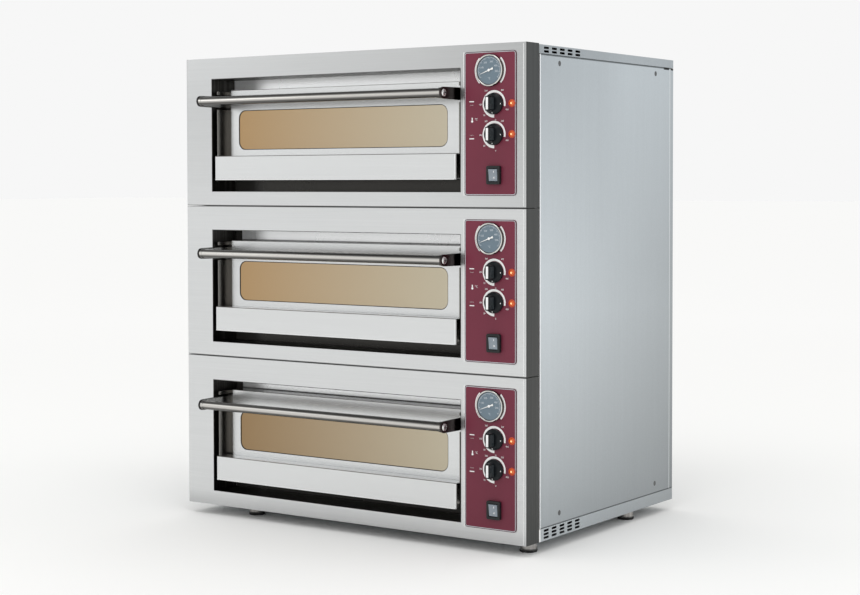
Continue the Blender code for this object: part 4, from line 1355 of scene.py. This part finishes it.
ARM_SCREW_RADIUS = 0.0080
GASKET_CORNER, GASKET_LIFT, GASKET_WIDTH = 0.0190, 0.0008, 0.0014
FOLD_WIDTH, TOP_FOLD_WIDTH, TOP_FOLD_ENDS = 0.0014, 0.0009, (0.020, 0.012)
END_FOLD_WIDTH = 0.0012
HEM_WIDTH, END_HEM, END_HEM_TOP = 0.0016, (0.0046, 0.0026), 0.002
RIGHT_HEM, RIGHT_HEM_ENDS = (0.0078, 0.0060), 0.003
PLATE_HEM = (0.0030, 0.0006)
RIM_TOP_WIDTH, RIM_END_WIDTH = 0.0013, 0.0008

SIDE_SCREW_DEPTHS = (0.135, 0.578)
SIDE_SCREW_FOOT, SIDE_SCREW_HEAD = 0.022, 0.016
SIDE_SCREW_RADIUS, SIDE_SCREW_SINK, SIDE_SCREW_LIFT = 0.0058, 0.00002, 0.00006
REAR_SCREW_X = (-0.44, -0.22, 0.0, 0.22, 0.44)
REAR_SCREW_INSET = 0.02
REAR_SCREW_PROFILE = ((0.0, 0.0010), (0.0034, 0.0008), (0.0046, 0.0))
CASING_SCREW_STEPS = 20
RATING_X, RATING_Z, RATING_THICKNESS, RATING_BEVEL = (0.18, 0.29), (0.16, 0.22), 0.0005, 0.0002
EARTH_X, EARTH_Z, EARTH_RADIUS = 0.31, 0.10, 0.0050


def add_handle_screws(deck):
    """Screws at the ends of the handle."""
    place = PLACES[deck]
    bar = (place.bar[0] + place.bar[1]) / 2
    for side, out in (("left", LEFT), ("right", RIGHT)):
        low, high = place.arms[side]
        centre = Vector((low.x if side == "left" else high.x, bar.y, bar.z))
        name = f"{deck}_arm_screw_{side}"
        cross_screw(name, centre, out, ARM_SCREW_RADIUS, place.door)


def add_gasket(deck):
    """The seal round the pane."""
    place = PLACES[deck]
    by = Vector((GLASS_MARGIN, 0.0, GLASS_MARGIN))
    low, high = place.glass[0] + by, place.glass[1] - by
    y = place.glass[0].y - GASKET_LIFT
    gasket = Piece()
    rounded_ring(gasket, low, high, GASKET_CORNER, y, 0.0, GASKET_WIDTH)
    gasket.done(f"{deck}_window_gasket", "seal", place.door)


def add_door_folds(deck):
    """Painted shade along the folds over the face and the apron, painted highlights along the hems
    under the apron and up its right end.
    """
    place = PLACES[deck]
    low, high = place.skin
    apron_y = low.y - PRINT_LIFT
    step = low.z + APRON_HEIGHT
    left, right = TOP_FOLD_ENDS
    # Painted shade lines.
    dark = Piece()
    dark.bar((low.x, high.x), (step - FOLD_WIDTH, step), apron_y)
    top_fold = (high.z - TOP_FOLD_WIDTH, high.z)
    dark.bar((low.x + left, high.x - right), top_fold, place.face_y - PRINT_LIFT)
    dark.bar((high.x - END_FOLD_WIDTH, high.x), (low.z, step), apron_y)
    dark.done(f"{deck}_door_fold_shades", "fold", place.door)
    # Painted highlight lines.
    bright = Piece()
    bright.bar((low.x, high.x), (low.z, low.z + HEM_WIDTH), apron_y)
    end_hem = (high.x - END_HEM[0], high.x - END_HEM[1])
    bright.bar(end_hem, (low.z, step - END_HEM_TOP), apron_y)
    bright.done(f"{deck}_door_hem_highlights", "hem", place.door)


def add_fascia_lines(deck):
    """Painted highlights on the bends at the fascia's right end and beside the plate, and painted
    shade along the opening's rim.
    """
    place = PLACES[deck]
    low, high = place.fascia
    y = place.front_y - PRINT_LIFT
    plate_low, plate_high = place.plate
    # Painted highlights on the bends.
    hem = Piece()
    height = (low.z + RIGHT_HEM_ENDS, high.z - RIGHT_HEM_ENDS)
    hem.bar((high.x - RIGHT_HEM[0], high.x - RIGHT_HEM[1]), height, y)
    beside = (plate_low.x - PLATE_HEM[0], plate_low.x - PLATE_HEM[1])
    hem.bar(beside, (plate_low.z, plate_high.z), y)
    hem.done(f"{deck}_fascia_bend_highlights", "hem", ROOT)
    # Painted shade along the opening's rim.
    rim = Piece()
    left, right = offset(low.x, OPENING_RIGHT_LEFT)
    bottom, top = offset(low.z - place.seam, OPENING_BOTTOM_TOP)
    rim.bar((left, right), (top, top + RIM_TOP_WIDTH), y)
    rim.bar((right, right + RIM_END_WIDTH), (bottom, top), y)
    rim.done(f"{deck}_opening_rim", "rim", ROOT)


def add_casing_screws():
    """Countersunk screws in both sides, and round the rear panel."""
    low_z, high_z = (corner.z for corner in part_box("side_panel_right"))
    screws = Piece()
    flat = [(0.0, SIDE_SCREW_LIFT), (SIDE_SCREW_RADIUS, SIDE_SCREW_LIFT)]
    for side, out in ((-1, LEFT), (1, RIGHT)):
        for depth in SIDE_SCREW_DEPTHS:
            for z in (low_z + SIDE_SCREW_FOOT, high_z - SIDE_SCREW_HEAD):
                at = Vector((side * (RIGHT_X - SIDE_SCREW_SINK), FRONT_Y + depth, z))
                screws.turned(flat, at, out, CASING_SCREW_STEPS)
    for x in REAR_SCREW_X:
        for z in (low_z + REAR_SCREW_INSET, high_z - REAR_SCREW_INSET):
            at = Vector((x, REAR_Y, z))
            screws.turned(REAR_SCREW_PROFILE, at, BACK, CASING_SCREW_STEPS)
    screws.done("casing_screws", "screw", ROOT)


def add_rating_plate():
    """Blank rating plate and the screw of the earth terminal, on the rear."""
    low = (RATING_X[0], REAR_Y, RATING_Z[0])
    high = (RATING_X[1], REAR_Y + RATING_THICKNESS, RATING_Z[1])
    plate = Piece()
    plate.block(low, high, RATING_BEVEL, 1)
    plate.done("rating_plate", "silver_print", ROOT, other_slot="gauge_metal")
    earth = Vector((EARTH_X, REAR_Y, EARTH_Z))
    cross_screw("earth_screw", earth, BACK, EARTH_RADIUS, ROOT)


def add_pieces():
    make_looks()
    for deck in DECKS:
        add_plate_border(deck)
        add_prints(deck)
        add_gauge(deck)
        add_hub(deck)
        for side in HEATS:
            add_knob(deck, side)
            add_pilot(deck, side)
        add_rocker_details(deck)
        add_handle_screws(deck)
        add_door_folds(deck)
        add_fascia_lines(deck)
        add_gasket(deck)
    add_casing_screws()
    add_rating_plate()


make_studio()
finish_cad()
add_pieces()
